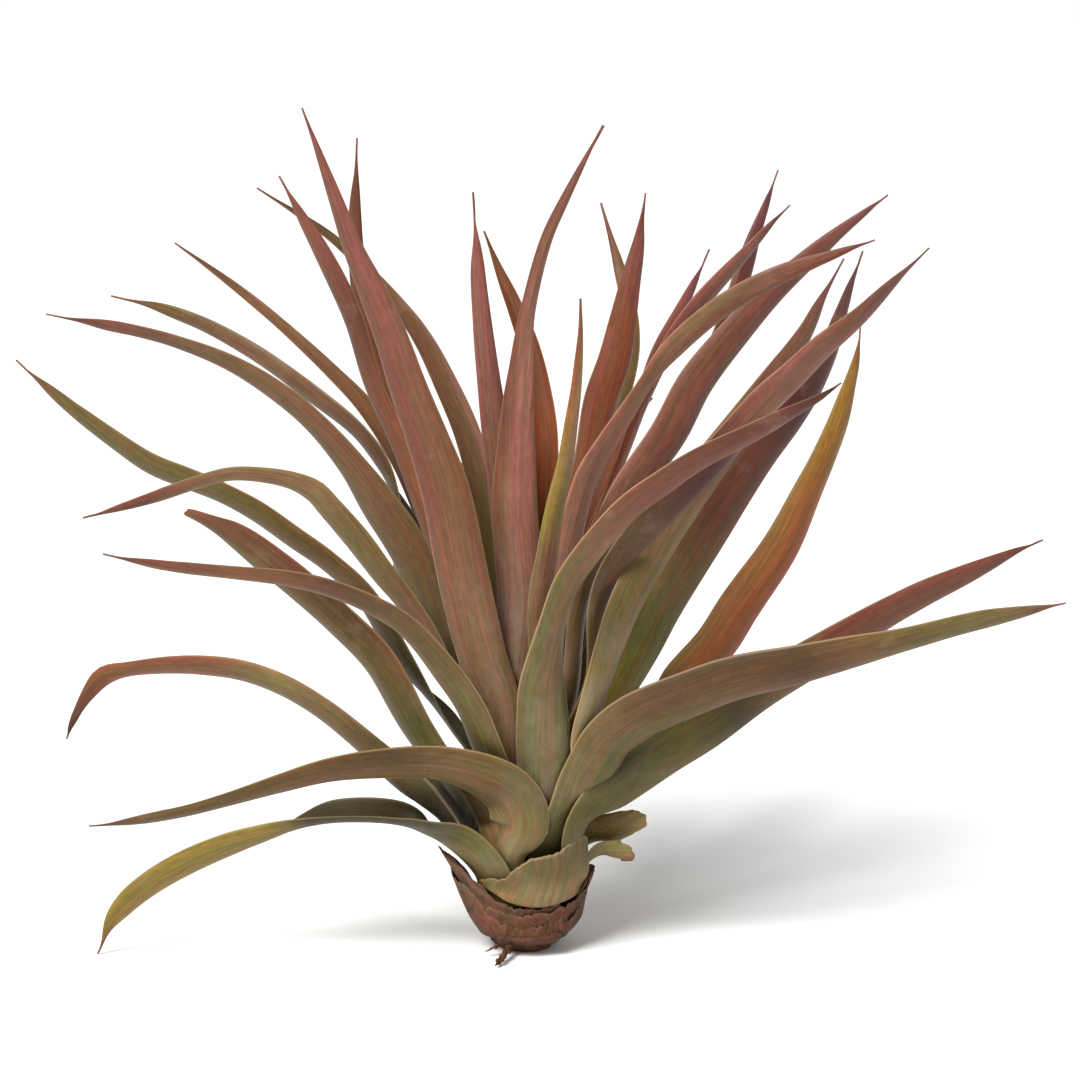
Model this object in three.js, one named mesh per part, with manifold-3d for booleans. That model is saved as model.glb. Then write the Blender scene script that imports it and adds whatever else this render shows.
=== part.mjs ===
// A brachycaulos air plant, bare-rooted: a rosette of long channelled leaves on a short woody stem.
// Millimetres, +Z up, +X to the plant's right as it is looked at, +Y away from that viewer.
// The origin is the middle of the flat spot under the stem, which the plant stands on.
import * as THREE from "three";
import { mergeVertices } from "three/addons/utils/BufferGeometryUtils.js";
import Module from "manifold-3d";

const solids = await Module();
solids.setup();

const DEGREE = Math.PI / 180;

// The place the leaves were measured from: a viewer straight in front, a little above the plant.
const VIEW_TILT = 12 * DEGREE;
const VIEW_DISTANCE = 1200;
const VIEW_CENTRE = { across: 3, up: 81 };

// The stem, a stubby cone that the leaves grow from in a spiral, oldest and lowest first.
// Each row is a radius and a height.
const FOOT_RADIUS = 5.2;
const STEM_PROFILE = [
  [FOOT_RADIUS, 0],
  [7.0, 1.6],
  [8.0, 4.4],
  [8.3, 8],
  [7.8, 13],
  [6.7, 19],
  [5.3, 26],
  [4.0, 33],
  [2.8, 40],
  [1.7, 45],
];
const STEM_TOP = 46;
const STEM_SIDES = 20;

// The leaves.
const BLADE_THICKNESS = 0.66;
const SHEATH_THICKNESS = 0.8;
const CLEARANCE = 0.3;
const SHEATH_RISE = 7;
const SHEATH_SPREAD = 0.9;
const SECTION_POINTS = [-1, -0.5, 0, 0.5, 1];
const TIP_WIDTH = 0.9;
const TIP_HEIGHT = 0.15;
const BLADE_CURL = 0.75;
const STEPS_PER_LEAF = 12;
const STEPS_PER_STUB = 6;
const SHEATH_SHARE = 0.25;

// Each leaf: its root on the stem as azimuth in degrees, height and sheath width, then the middle
// of its blade from sheath to tip as across and up (as the viewer sees it), back (behind the
// plant's axis), blade width, and where it matters the turn of the blade: 0 shows its outer face
// to the viewer, -90 and 90 its edge with the channel to the right and left of its way, 180 its
// inner face. The last point is the tip.
const LEAVES = {
  leaf_left_01: {
    root: [176, 26, 5],
    along: [
      [-15, 44, 4, 7],
      [-25, 56.2, 6, 8, -60],
      [-32.9, 69.1, 9, 8.4, -58],
      [-40, 75.9, 11, 8.2, -56],
      [-46.8, 80.7, 12, 8, -55],
      [-54.3, 86, 13, 7.8, -55],
      [-61, 89.6, 14, 7.6, -55],
      [-68, 92.4, 15, 7.8, -54],
      [-75, 95.3, 16, 7.6, -53],
      [-82, 100, 17, 6.4, -52],
      [-90, 106.1, 18, 5, -50],
      [-96, 111.5, 19, 3.8, -48],
      [-101.8, 117, 20],
    ],
  },
  leaf_left_02: {
    root: [-176, 33, 5],
    along: [
      [-17.8, 62, -1, 10, -42],
      [-24, 78.4, 1, 10.4, -33],
      [-30.2, 88, 2, 9.8, -33],
      [-35.4, 95.6, 3, 8, -40],
      [-41.9, 103, 4, 7.2, -48],
      [-48.4, 108.8, 4.6, 6.8, -50],
      [-58.4, 115.3, 5.6, 6, -54],
      [-69.7, 120, 7, 4.8, -57],
      [-77.6, 122.2, 7.4, 4.2, -56],
      [-85.7, 124, 7.7, 3.8, -52],
      [-95.8, 126.2, 8],
    ],
  },
  leaf_left_03: {
    root: [155, 30, 5],
    along: [
      [-14, 62, 5, 8],
      [-22, 80, 12, 8],
      [-29, 95.6, 18, 7.2, -70],
      [-34, 102.3, 21, 6.4, -62],
      [-42.3, 109.1, 25, 6.2, -54],
      [-51.7, 116.2, 28, 5.2, -47],
      [-58.3, 120.4, 31, 4.7, -45],
      [-65, 124, 33.5, 4, -43],
      [-73.7, 127.4, 36, 3.4, -40],
      [-82.8, 129.8, 38],
    ],
  },
  leaf_left_04: {
    root: [-160, 29, 5],
    along: [
      [-19, 59, -8, 7.8, -60],
      [-24.3, 67.5, -10, 7.8, -55],
      [-29.4, 74, -12, 8, -48],
      [-34.5, 81, -14, 7.6, -42],
      [-39.7, 87, -16, 7.2, -44],
      [-42.6, 90.1, -16.6, 7, -46],
      [-46.2, 91.9, -17.2, 6.5, -54],
      [-52, 93.2, -18.6, 5.8, -58],
      [-59, 93.5, -20, 5.2, -60],
      [-66.2, 91.6, -21, 4.9, -62],
      [-73.4, 89.2, -22, 4.5, -60],
      [-82, 86.9, -24, 3.4, -60],
      [-88.4, 85.4, -25],
    ],
  },
  leaf_left_05: {
    root: [128, 34, 4.5],
    along: [
      [-8, 62, 13, 7],
      [-18, 80.6, 22, 7.2],
      [-25.2, 96.4, 30, 6.6],
      [-32.3, 107.2, 35, 6],
      [-38.7, 114, 39, 5.2],
      [-47.5, 122.3, 44, 4.2],
      [-56, 129.6, 49, 3.3],
      [-64.2, 136.1, 53, 2.6],
      [-70, 140.4, 55],
    ],
  },
  leaf_left_06: {
    root: [-130, 20, 8],
    along: [
      [-6.5, 33, -8.5, 9],
      [-9.4, 41.4, -13, 9],
      [-12.2, 47.4, -16, 9.4],
      [-16.4, 53.6, -19, 9.2, -50],
      [-23.9, 62.4, -25, 8.4, -57],
      [-31, 67, -30, 7.8, -60],
      [-38.6, 70.2, -34, 7.2, -62],
      [-47.4, 72.4, -38, 6.8, -62],
      [-59, 73.8, -42, 5.6, -62],
      [-69.4, 75, -45, 4.6, -60],
      [-77, 76.4, -46.6, 3.4, -58],
      [-84.4, 78.2, -48],
    ],
  },
  leaf_left_07: {
    root: [176, 16, 8, 2.2],
    along: [
      [-14.8, 31, -2.6, 9.6, -62],
      [-23, 43.4, -2.2, 10.2, -47],
      [-30.2, 56.2, -3, 10, -43],
      [-37.6, 64, -3, 9.2, -41],
      [-45.8, 71.4, -3, 9, -38],
      [-52.2, 76.6, -3, 8.6, -38],
      [-56.9, 80.3, -2.6, 8, -40],
      [-60.8, 82.9, -2.2, 7, -44],
      [-64.8, 85, -2, 4.8, -50],
      [-68.2, 86.5, -2, 3.6, -55],
    ],
    blunt: true,
  },
  leaf_left_08: {
    root: [-168, 11.5, 8, 2.2],
    along: [
      [-16.4, 24.6, -5.6, 10.6],
      [-24.4, 31.6, -7.4, 11.4, -58],
      [-33.8, 40.3, -9, 9.9, -60],
      [-41.4, 46.4, -10, 8.9, -60],
      [-48.6, 50.7, -11, 8.6, -60],
      [-56.6, 53.7, -12, 8.3, -60],
      [-64.2, 54.8, -13, 8, -60],
      [-71, 55, -14, 7.4, -61],
      [-79.4, 54.3, -15, 6.4, -62],
      [-84, 53.2, -15.4, 5.8, -45],
      [-86.5, 50.7, -15.8, 4.8, -42],
      [-88.9, 47.3, -16, 3.6, -40],
      [-90.6, 44, -16, 2.7, -38],
      [-91.7, 41.2, -16],
    ],
  },
  leaf_left_09: {
    root: [-110, 11.5, 7, 1.5],
    along: [
      [-3, 18.8, -11.6, 7.4, -10],
      [-0.8, 24, -13.8, 12.6, 0],
      [-3.6, 30, -15, 12, -18],
      [-14.8, 34.6, -16, 11.2, -45],
      [-26.4, 35.1, -18, 10.2, -48],
      [-38.6, 34, -22, 8.2, -50],
      [-48.8, 31.5, -26, 6.4, -52],
      [-59, 28.6, -30, 5, -55],
      [-69.4, 25.9, -34, 4.4, -58],
      [-79.6, 24.3, -37, 3.4, -60],
      [-87.2, 23.8, -38],
    ],
  },
  leaf_left_10: {
    root: [-140, 9.5, 15, 2.2],
    along: [
      [-14, 19.8, -8.5, 13.6, -62],
      [-19.6, 22.2, -9.5, 13.2, -84, 0.85],
      [-25.4, 24.5, -9, 12.8, -104, 0.9],
      [-37.8, 25, -9, 12.2, -106, 0.9],
      [-44.6, 23.6, -9, 10.8, -92, 0.85],
      [-51, 21.6, -9, 9.4, -70],
      [-59, 19, -8.5, 8.9, -55],
      [-66.8, 15.8, -8, 8.8, -50],
      [-73.6, 12, -7.6, 8.2, -48],
      [-78.6, 8.2, -7.2, 7.4, -48],
      [-82.4, 4.2, -7, 5.6, -50],
      [-85.4, -1.7, -6.7],
    ],
  },
  leaf_upper_01: {
    root: [-130, 26, 8],
    along: [
      [-6, 49, -11, 10, -15],
      [-9, 57.4, -13, 11, -15],
      [-12.6, 72, -16, 11.5, -15],
      [-16.4, 90.6, -21, 10.8, -15],
      [-20.1, 101.6, -24, 9.2, -15],
      [-23.9, 111.8, -27, 8.2, -15],
      [-26.8, 120.4, -30, 7.4, -18],
      [-30.4, 129.6, -32, 6.5, -20],
      [-34.6, 139, -34, 4.8, -25],
      [-37.4, 147, -36, 3.7, -28],
      [-41, 157.4, -37, 2.5, -30],
      [-44.6, 167.4, -38],
    ],
  },
  leaf_upper_02: {
    root: [170, 38, 3.5],
    along: [
      [-10, 66, 1, 6],
      [-17, 81, 2, 6.5],
      [-22, 99, 4, 6.4, -12],
      [-26.6, 111, 6, 5.9, -10],
      [-30, 120, 7, 5.2, -10],
      [-32.7, 129, 8, 4.3, -10],
      [-33.9, 139, 9, 3.4, -10],
      [-34, 150, 10, 2.5, -10],
      [-33.6, 161.4, 10],
    ],
  },
  leaf_upper_03: {
    root: [-155, 37, 3.5],
    along: [
      [-10, 60, -5, 6],
      [-18.4, 79, -7, 6, -60],
      [-26.2, 101, -8, 5.9, -50],
      [-31, 112, -7, 5.7, -45],
      [-34.8, 124.6, -6, 5.7, -42],
      [-38, 132.2, -5, 5.4, -40],
      [-41.3, 138.8, -4, 4.6, -40],
      [-45.8, 147.4, -3, 3, -42],
      [-49.2, 153.8, -2],
    ],
  },
  leaf_upper_04: {
    root: [115, 41, 3.5],
    along: [
      [-4, 66, 8, 6],
      [-7.5, 81, 13, 7],
      [-9.8, 94, 17, 7],
      [-12.4, 102.8, 21, 6.8],
      [-16.2, 111.6, 26, 6.3],
      [-20.6, 120.4, 31, 5.4],
      [-25.4, 127.2, 35, 4.6],
      [-37, 139.6, 40, 3.4],
      [-46.4, 146.6, 43.4, 2.6],
      [-53.6, 151.4, 45],
    ],
  },
  leaf_upper_05: {
    root: [-120, 40, 3.5],
    along: [
      [-3, 62, -2, 5],
      [-4.4, 77, -3, 6.8, -42],
      [-5.3, 93.4, -2, 7.2, -28],
      [-6.4, 103.2, -1, 6.4, -20],
      [-7.6, 112.8, 0, 5.4, -20],
      [-8.9, 125.6, 2, 4.2, -18],
      [-9.7, 137, 4, 3, -18],
      [-10.4, 150.6, 6],
    ],
  },
  leaf_upper_06: {
    root: [-20, 44, 3],
    along: [
      [1.5, 66, 1, 5.5, 200],
      [2.8, 79, 4, 6, 190],
      [3.8, 101, 9, 6.2, 180],
      [2.7, 111, 12, 5.5, 180],
      [0.7, 120, 15, 4.6, 180],
      [-2.1, 127.8, 18, 3.5, 180],
      [-5.4, 135.6, 20.2, 2.3, 180],
      [-8.2, 142.8, 22],
    ],
  },
  leaf_upper_07: {
    root: [-87, 31, 6],
    along: [
      [-3, 44, -8, 8, -5],
      [-2.6, 51.8, -9, 9.4, 0],
      [-1, 69, -9.5, 10, 0],
      [-2.1, 87.8, -10, 10, 0],
      [-1.8, 99, -10, 8.3, 0],
      [-1.3, 109.8, -11, 6.4, 0],
      [-0.8, 115.4, -11, 5.2, 0],
      [0.5, 126, -11, 3.4, 10],
      [4.2, 140.4, -11, 2.7, 20],
      [7.9, 148.6, -12, 2.4, 30],
      [11.9, 156.8, -12, 1.9, 30],
      [15.6, 164, -12],
    ],
  },
  leaf_upper_08: {
    root: [-60, 24, 4],
    along: [
      [4.4, 47, -9.5, 5, 20],
      [3.5, 60, -12.5, 5.7, 20],
      [3.5, 69, -16, 5.7, 25],
      [4.8, 77.8, -20, 5.2, 28],
      [6.4, 87.6, -26, 4.5, 28],
      [8.3, 96.2, -33, 3.8, 28],
      [9.5, 104.8, -41, 3, 20],
      [10.5, 112.8, -48, 2.3, 20],
      [11.1, 122, -56, 1.5, 20],
      [11.1, 129.2, -62],
    ],
  },
  leaf_upper_09: {
    root: [62, 43, 3],
    along: [
      [3, 66, 9, 6],
      [6, 78, 15, 6.5],
      [14.8, 99, 24, 6.5],
      [19.1, 109, 29, 6],
      [21.4, 119, 34, 5],
      [21.1, 127, 38, 4],
      [19, 135.4, 42, 2.7],
      [15.2, 148.4, 48],
    ],
  },
  leaf_upper_10: {
    root: [-20, 37, 4.5],
    along: [
      [5.6, 66, -4, 6.5, 60],
      [8, 79, -5, 7, 50],
      [13.4, 96.2, -6, 7.7, 30],
      [15.6, 108.8, -6, 7.8, 20],
      [18.2, 117, -6, 7.3, 15],
      [19.7, 124.2, -5, 6.2, 15],
      [21.4, 133.2, -5, 4.5, 15],
      [23, 141.6, -4.6, 3, 15],
      [24.1, 150.4, -4],
    ],
  },
  leaf_upper_11: {
    root: [32, 36, 4],
    along: [
      [7, 66, 5, 6],
      [11, 79, 10, 6.5],
      [17.4, 95, 16, 6.2],
      [21, 103, 17, 5.8],
      [25.2, 113, 21, 5.2, 60],
      [27.6, 119.4, 23, 4.7, 52],
      [31.4, 126.6, 27, 3.9, 48],
      [34.2, 132.8, 29, 2.8, 45],
      [36.9, 139.2, 30],
    ],
  },
  leaf_upper_12: {
    root: [68, 37, 4],
    along: [
      [5, 64, 11, 6],
      [12, 79, 17, 6],
      [25, 97, 26, 5.4, 60],
      [32.4, 109, 32, 5.2, 56],
      [38.4, 119, 38, 5.2, 46],
      [42.2, 128.2, 42, 5.2, 38],
      [44.3, 135, 45, 4.7, 32],
      [46.1, 141.6, 47, 3.7, 30],
      [48.7, 149.4, 49, 2.3, 30],
      [50.6, 155, 50],
    ],
  },
  leaf_upper_13: {
    root: [16, 34, 5],
    along: [
      [8.6, 62, -2.5, 6.2],
      [14, 83, 0, 7],
      [20, 97, 4, 6.8, 80],
      [24.5, 109, 8, 6.6, 68],
      [30.2, 120.8, 11, 6, 56],
      [35.4, 128, 13, 5.4, 46],
      [44, 137.8, 16, 3.9, 45],
      [49.4, 144.2, 16.8, 2.5, 45],
      [53, 148, 17],
    ],
  },
  leaf_upper_14: {
    root: [-26, 31, 5],
    along: [
      [9.6, 50, -7, 6],
      [12, 69, -9.4, 7],
      [20.2, 88.8, -9, 8.4, 32],
      [29.2, 101.8, -7, 9, 26],
      [34.8, 112.4, -5, 8.6, 25],
      [42.2, 121.8, -2, 7.6, 27],
      [50, 130.6, 1, 6.4, 28],
      [56.3, 136.4, 2, 5, 30],
      [62.3, 141.8, 3, 3.8, 30],
      [68.5, 146.8, 4, 2.5, 30],
      [72.6, 150, 4],
    ],
  },
  leaf_upper_15: {
    root: [-55, 35, 4.5],
    along: [
      [5, 52, -6.5, 5.5],
      [6, 62, -9, 6.5],
      [8.8, 77, -12, 7],
      [13, 93, -16, 7],
      [16.4, 99, -18, 7],
      [21, 106, -20, 6.6],
      [25.2, 112.6, -21, 6.2],
      [30.2, 119.1, -22, 5.9, 36],
      [37.4, 125.6, -23, 5.6, 32],
      [44, 130.1, -24, 5.2, 30],
      [50.8, 133.6, -25, 4.6, 30],
      [58, 136.5, -25.5, 3.7, 30],
      [64, 138.8, -26, 2.7, 30],
      [70, 141, -26],
    ],
  },
  leaf_upper_16: {
    root: [-45, 20.5, 8, 1.3],
    along: [
      [12, 36, -9.5, 8],
      [12.8, 42, -12, 8],
      [15.1, 50, -14.5, 8.6],
      [20.6, 67.2, -16, 8.8, 36],
      [27.4, 80.4, -13.5, 9.4, 28],
      [30.9, 86.4, -12.5, 9.6, 25],
      [38.6, 96.8, -12, 9, 32],
      [44.6, 104.8, -12, 8.2, 34],
      [49.4, 111.8, -11, 6.8, 35],
      [56.1, 121.8, -9.5, 4.6, 35],
      [59.2, 128.4, -9, 3.2, 35],
      [63.8, 137.3, -8],
    ],
  },
  leaf_upper_17: {
    root: [-12, 24, 7],
    along: [
      [16.8, 44.6, -6, 9, 55],
      [24, 57.6, -6, 10.2, 42],
      [28, 66.2, -5, 10.6, 35],
      [36.4, 80.7, -3, 10.8, 30],
      [41.2, 88.7, -1, 10.8, 30],
      [47.1, 97.1, 1, 10, 34],
      [53.4, 104.8, 3, 8.8, 38],
      [57.4, 110.8, 5, 7.8, 40],
      [61, 118, 6, 6, 42],
      [63.5, 126, 7, 4.3, 40],
      [65.3, 132, 7.6, 3, 40],
      [67.6, 138.8, 8],
    ],
  },
  leaf_upper_18: {
    root: [-40, 28, 5],
    along: [
      [14, 52, -8, 6.5],
      [16, 69, -13.5, 7.5],
      [20.6, 77.8, -19, 8, 42],
      [29.4, 87.6, -24.5, 8.5, 38],
      [37.8, 96.2, -26, 8.5, 38],
      [48.2, 107.8, -30, 8.3, 38],
      [54, 113.2, -31, 7.6, 40],
      [59.9, 119, -33, 6.8, 42],
      [67.2, 125.3, -34, 4.9, 42],
      [73.8, 132.3, -36, 3.5, 42],
      [80.8, 139.4, -38],
    ],
  },
  leaf_upper_19: {
    root: [5, 18, 7, 1.4],
    along: [
      [17.5, 38, -2, 7],
      [24, 45, -1, 8.4],
      [31.4, 51.8, 1, 10.4, 38],
      [38.7, 59.5, 4, 10.9, 30],
      [43.6, 67.2, 7, 10.6, 27],
      [51.6, 79, 12, 9.4, 27],
      [57.3, 90.6, 17, 7.8, 32],
      [60.8, 98.2, 21, 6.8, 36],
      [63.6, 105.4, 25, 5.8, 38],
      [65.4, 112, 28, 4.6, 42],
      [66.6, 118, 30, 3, 44],
      [67.1, 123.8, 32],
    ],
  },
  leaf_upper_20: {
    root: [-75, 16.5, 10],
    along: [
      [3.6, 33, -11.5, 11.5, 0],
      [3.6, 41, -14, 11.8, 0],
      [3.7, 46, -15.5, 11.2, 8],
      [4.2, 52.6, -17.5, 10.8, 30],
      [5.4, 59.2, -19.5, 9.8, 46],
      [7, 65, -22, 9.4, 56],
      [10.2, 72.8, -28, 9.2, 53],
      [20.4, 85.6, -38, 8.8, 50],
      [28.5, 91.9, -44, 8, 50],
      [35.5, 96.5, -49, 7.2, 50],
      [46, 101.9, -55, 5.8, 48],
      [53.5, 106.2, -59, 4.7, 46],
      [59.4, 109.6, -61, 3.2, 45],
      [63.2, 112.4, -62],
    ],
  },
  leaf_right_01: {
    root: [-30, 11, 8, 2.2],
    along: [
      [12, 24.4, -9.5, 9.6],
      [17.6, 29.6, -10, 11.2, 36],
      [28.8, 37.8, -9, 11.8, 30],
      [36.8, 42.8, -8, 11.6, 30],
      [46.8, 49.8, -6, 10.6, 32],
      [59.4, 57.3, -2, 10.2, 35],
      [72.6, 65.3, 3, 8.8, 41],
      [80.2, 69.4, 5, 7.8, 42],
      [90.2, 74.3, 8, 5.6, 42],
      [98.3, 78.6, 10.6, 3.2, 42],
      [103.6, 81, 12],
    ],
  },
  leaf_right_02: {
    root: [-55, 14, 10],
    along: [
      [9.5, 27, -10, 11],
      [13.4, 34.4, -13, 11.5, 20],
      [17, 40.2, -15.5, 12, 26],
      [22, 44.2, -17, 12.4, 30],
      [33.8, 49.2, -19, 12.4, 33],
      [42, 52.1, -20, 12, 35],
      [53.6, 54.5, -21, 11.4, 40],
      [65.6, 57.4, -22.5, 10.2, 47],
      [76.8, 60.2, -24, 8.4, 53],
      [86.8, 63, -25.5, 7.2, 52],
      [95.3, 65.2, -26.5, 5.9, 48],
      [102.4, 67, -27.3, 3.7, 46],
      [108.2, 68.4, -28],
    ],
  },
};

// Leaves on the far side: root as above, then how far the tip reaches from the axis, which way in
// degrees, how far the leaf sweeps round on its way there, the height of the tip, the height the
// arch rises to first, and the widest blade width.
const FAR_LEAVES = {
  leaf_back_01: { root: [104, 33, 4.5], reach: 62, way: 91, sweep: 10, tip: 100, crest: 90, width: 7.5 },
  leaf_back_02: { root: [85, 30, 5], reach: 84, way: 104, sweep: -16, tip: 84, crest: 76, width: 8.5 },
  leaf_back_03: { root: [58, 27, 5], reach: 70, way: 68, sweep: 12, tip: 99, crest: 80, width: 7.5 },
  leaf_back_04: { root: [32, 23, 5], reach: 93, way: 64, sweep: -14, tip: 70, crest: 76, width: 9 },
  leaf_back_05: { root: [102, 24, 5.5], reach: 104, way: 86, sweep: 18, tip: 44, crest: 70, width: 9 },
  leaf_back_06: { root: [74, 20, 6], reach: 96, way: 76, sweep: -12, tip: 58, crest: 66, width: 8 },
  leaf_back_07: { root: [118, 27, 6], reach: 95, way: 107, sweep: 8, tip: 52, crest: 70, width: 8 },
  leaf_back_08: { root: [134, 20, 5], reach: 66, way: 119, sweep: -10, tip: 50, crest: 58, width: 7.5 },
  leaf_back_09: { root: [36, 17, 5], reach: 78, way: 56, sweep: 8, tip: 31, crest: 42, width: 8 },
  leaf_back_10: { root: [118, 14, 6], reach: 86, way: 100, sweep: -20, tip: 0, crest: 46, width: 8.5 },
  leaf_back_11: { root: [76, 12, 6], reach: 54, way: 82, sweep: 22, tip: 0, crest: 34, width: 7.5 },
};

// The arch of a far leaf: shares of its reach and crest that steer its rise and its fall, the
// stretch it swells over, and how late it tapers.
const FAR_RISE = { reach: 0.2, crest: 0.9 };
const FAR_FALL = { reach: 0.7, crest: 1.1 };
const FAR_SWELL = 1 / 3;
const FAR_TAPER = 1.6;
const FAR_STOPS = 6;

// What is left of trimmed leaves, low on both sides: root and middle line as for the leaves.
const CUT_STUBS = {
  cut_stub_01: {
    root: [20, 10.5, 6.5, 2.5],
    along: [
      [14.6, 21.8, 0.4, 7.8, 30],
      [18.8, 23.4, -1.4, 7, 25],
      [24.3, 25.4, -2.5, 5.4, 20],
    ],
    blunt: true,
  },
  cut_stub_02: {
    root: [-9, 9.5, 6, 2.8],
    along: [
      [14.8, 18.2, -2.2, 6, 70],
      [17.8, 18.3, -3.6, 6, 48],
      [21.8, 18.1, -5, 5.6, 32],
    ],
    blunt: true,
  },
  cut_stub_03: {
    root: [-128, 14.5, 7, 1.6],
    along: [
      [-8.6, 25, -8.4, 7.6],
      [-12.4, 31, -10, 7],
    ],
    blunt: true,
  },
  cut_stub_04: {
    root: [152, 12, 8, 2],
    along: [
      [-12.6, 24.6, 3.4, 9.6],
      [-17.6, 31, 4, 9.6],
      [-21, 35.4, 5, 9],
    ],
    blunt: true,
  },
};

// Sheaths that clasp the foot without a blade. Each row is an azimuth in degrees, then the lower
// edge, the waist and the rim there, each as radius and height. The cup is the torn green sheath
// of a trimmed leaf, the others are dry.
const CLASPING_SHEATHS = {
  dry_sheath_left: [
    [142, [8.7, 4.2], [10.2, 7.6], [11.6, 10.6]],
    [162, [8.7, 4.2], [10.7, 8.8], [14.4, 16]],
    [180, [8.7, 4.2], [10.8, 9.6], [17, 20]],
    [196, [8.7, 4.2], [10.9, 9.6], [16.4, 19.8]],
    [212, [8.7, 4.2], [10.9, 9.4], [14.6, 17.4]],
    [226, [8.7, 4.2], [10.6, 8.6], [13.1, 14.2]],
    [242, [8.8, 4.4], [10.4, 7.6], [11.8, 11]],
  ],
  dry_sheath_front: [
    [248, [8.8, 4.4], [10, 7.2], [11.2, 10.5]],
    [262, [8.8, 4.4], [10, 7], [11, 10]],
    [276, [8.8, 4.4], [10, 7], [11, 9.9]],
    [290, [8.8, 4.4], [10.1, 7.2], [11.1, 10.1]],
    [301, [8.8, 4.4], [10.3, 7.4], [11.4, 10.5]],
    [312, [8.8, 4.4], [10.4, 7.6], [11.6, 11]],
  ],
  dry_sheath_right: [
    [318, [8.2, 3.6], [10.2, 7], [11.6, 10.6]],
    [332, [8.1, 3.5], [10.5, 7.6], [13.1, 12.8]],
    [346, [8, 3.4], [10.7, 8.4], [13.7, 15.1]],
    [360, [8, 3.4], [10.8, 8.8], [13.9, 15.5]],
    [378, [8.1, 3.4], [10.9, 8.6], [13.8, 14.9]],
    [394, [8.4, 3], [10.8, 8], [13, 13]],
    [408, [8.4, 3], [10.2, 6.8], [12, 10.6]],
  ],
  dry_sheath_back: [
    [52, [8.3, 3], [10.2, 6.4], [11.6, 9.8]],
    [72, [8.3, 3], [10.8, 8], [13, 14]],
    [96, [8.3, 3], [11, 8.4], [13.4, 15.4]],
    [118, [8.3, 3], [10.8, 8], [13, 14]],
    [138, [8.3, 3], [10.2, 6.4], [11.6, 9.8]],
  ],
};
const CUP_SHEATH = [
  [-120, [11.2, 13.2], [11.7, 14.8], [12.2, 16.4]],
  [-108, [11.3, 12], [11.9, 14.4], [12.6, 17]],
  [-96, [11.4, 11.4], [12.2, 15.2], [13, 19.6]],
  [-84, [11.4, 11], [12.4, 16], [13.3, 21.4]],
  [-70, [11.4, 10.9], [12.5, 16.2], [13.4, 21.8]],
  [-56, [11.6, 11.3], [12.6, 16.6], [13.5, 22.7]],
  [-44, [11.8, 11.8], [12.8, 17.6], [13.6, 24]],
  [-33, [12, 12.4], [12.9, 18.4], [13.7, 25]],
  [-22, [12.1, 13.2], [13, 18], [13.7, 23]],
];
const DRY_THICKNESS = 0.7;
const CUP_THICKNESS = 0.8;
const CLASP_STEP = 7;
const CLASP_STOPS = 5;

// Roots left on the underside, each a tapering tube: its points and its two radii.
const ROOTS = [
  { points: [[-1, -1, 3], [-2.6, -7.5, 2.2], [-5.8, -17.8, 0.8]], thick: 1.4, thin: 0.8 },
  { points: [[-3, -3, 3], [-5, -7, 2.2], [-8.2, -9.4, 1.2]], thick: 0.9, thin: 0.5 },
];
const ROOT_SIDES = 8;

// The point that a viewer sees at (across, up) when it lies `back` behind the plant's axis.
function seen(across, up, back) {
  const sin = Math.sin(VIEW_TILT);
  const cos = Math.cos(VIEW_TILT);
  const away = (back - up * sin) / (cos + ((up - VIEW_CENTRE.up) * sin) / VIEW_DISTANCE);
  const scale = (VIEW_DISTANCE + away) / VIEW_DISTANCE;
  const right = VIEW_CENTRE.across + (across - VIEW_CENTRE.across) * scale;
  const height = VIEW_CENTRE.up + (up - VIEW_CENTRE.up) * scale;
  return new THREE.Vector3(right, height * sin + away * cos, height * cos - away * sin);
}

// The viewer's line of sight, which the turns are counted from.
const SIGHT = new THREE.Vector3(0, Math.cos(VIEW_TILT), -Math.sin(VIEW_TILT));

function around(azimuth, radius, height) {
  const angle = azimuth * DEGREE;
  return new THREE.Vector3(Math.cos(angle) * radius, Math.sin(angle) * radius, height);
}

function stemRadius(height) {
  const at = Math.max(1, STEM_PROFILE.findIndex((row) => row[1] >= height));
  const [low, high] = [STEM_PROFILE[at - 1], STEM_PROFILE[at]];
  const share = (height - low[1]) / (high[1] - low[1]);
  return low[0] + (high[0] - low[0]) * share;
}

// The two directions across a leaf's way: one in the viewer's picture, one away from the viewer.
function acrossWay(way) {
  const picture = new THREE.Vector3().crossVectors(SIGHT, way).normalize();
  const away = new THREE.Vector3().crossVectors(way, picture).normalize();
  return { picture, away };
}

// The turn of a blade whose channel faces the plant's axis.
function naturalTurn(point, way) {
  const width = new THREE.Vector3(-point.y, point.x, 0).normalize();
  const { picture, away } = acrossWay(way);
  return Math.atan2(width.dot(away), width.dot(picture)) / DEGREE;
}

// The stations of a leaf, from its root on the stem to its tip.
function stationsOf({ root: [azimuth, height, rootWidth, spread = SHEATH_SPREAD], along, blunt }) {
  const radius = stemRadius(height) + CLEARANCE + SHEATH_THICKNESS / 2;
  const risen = radius + spread;
  const stations = [
    { point: around(azimuth, radius, height), width: rootWidth, curl: rootWidth / 2 / radius },
    {
      point: around(azimuth, risen, height + SHEATH_RISE),
      width: rootWidth,
      curl: rootWidth / 2 / risen,
    },
  ];
  along.forEach(([across, up, back, width, turn, curl = BLADE_CURL], i) => {
    const tip = i === along.length - 1 && !blunt;
    stations.push({
      point: seen(across, up, back),
      width: tip ? TIP_WIDTH : width,
      curl,
      turn,
    });
  });
  return stations;
}

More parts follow.
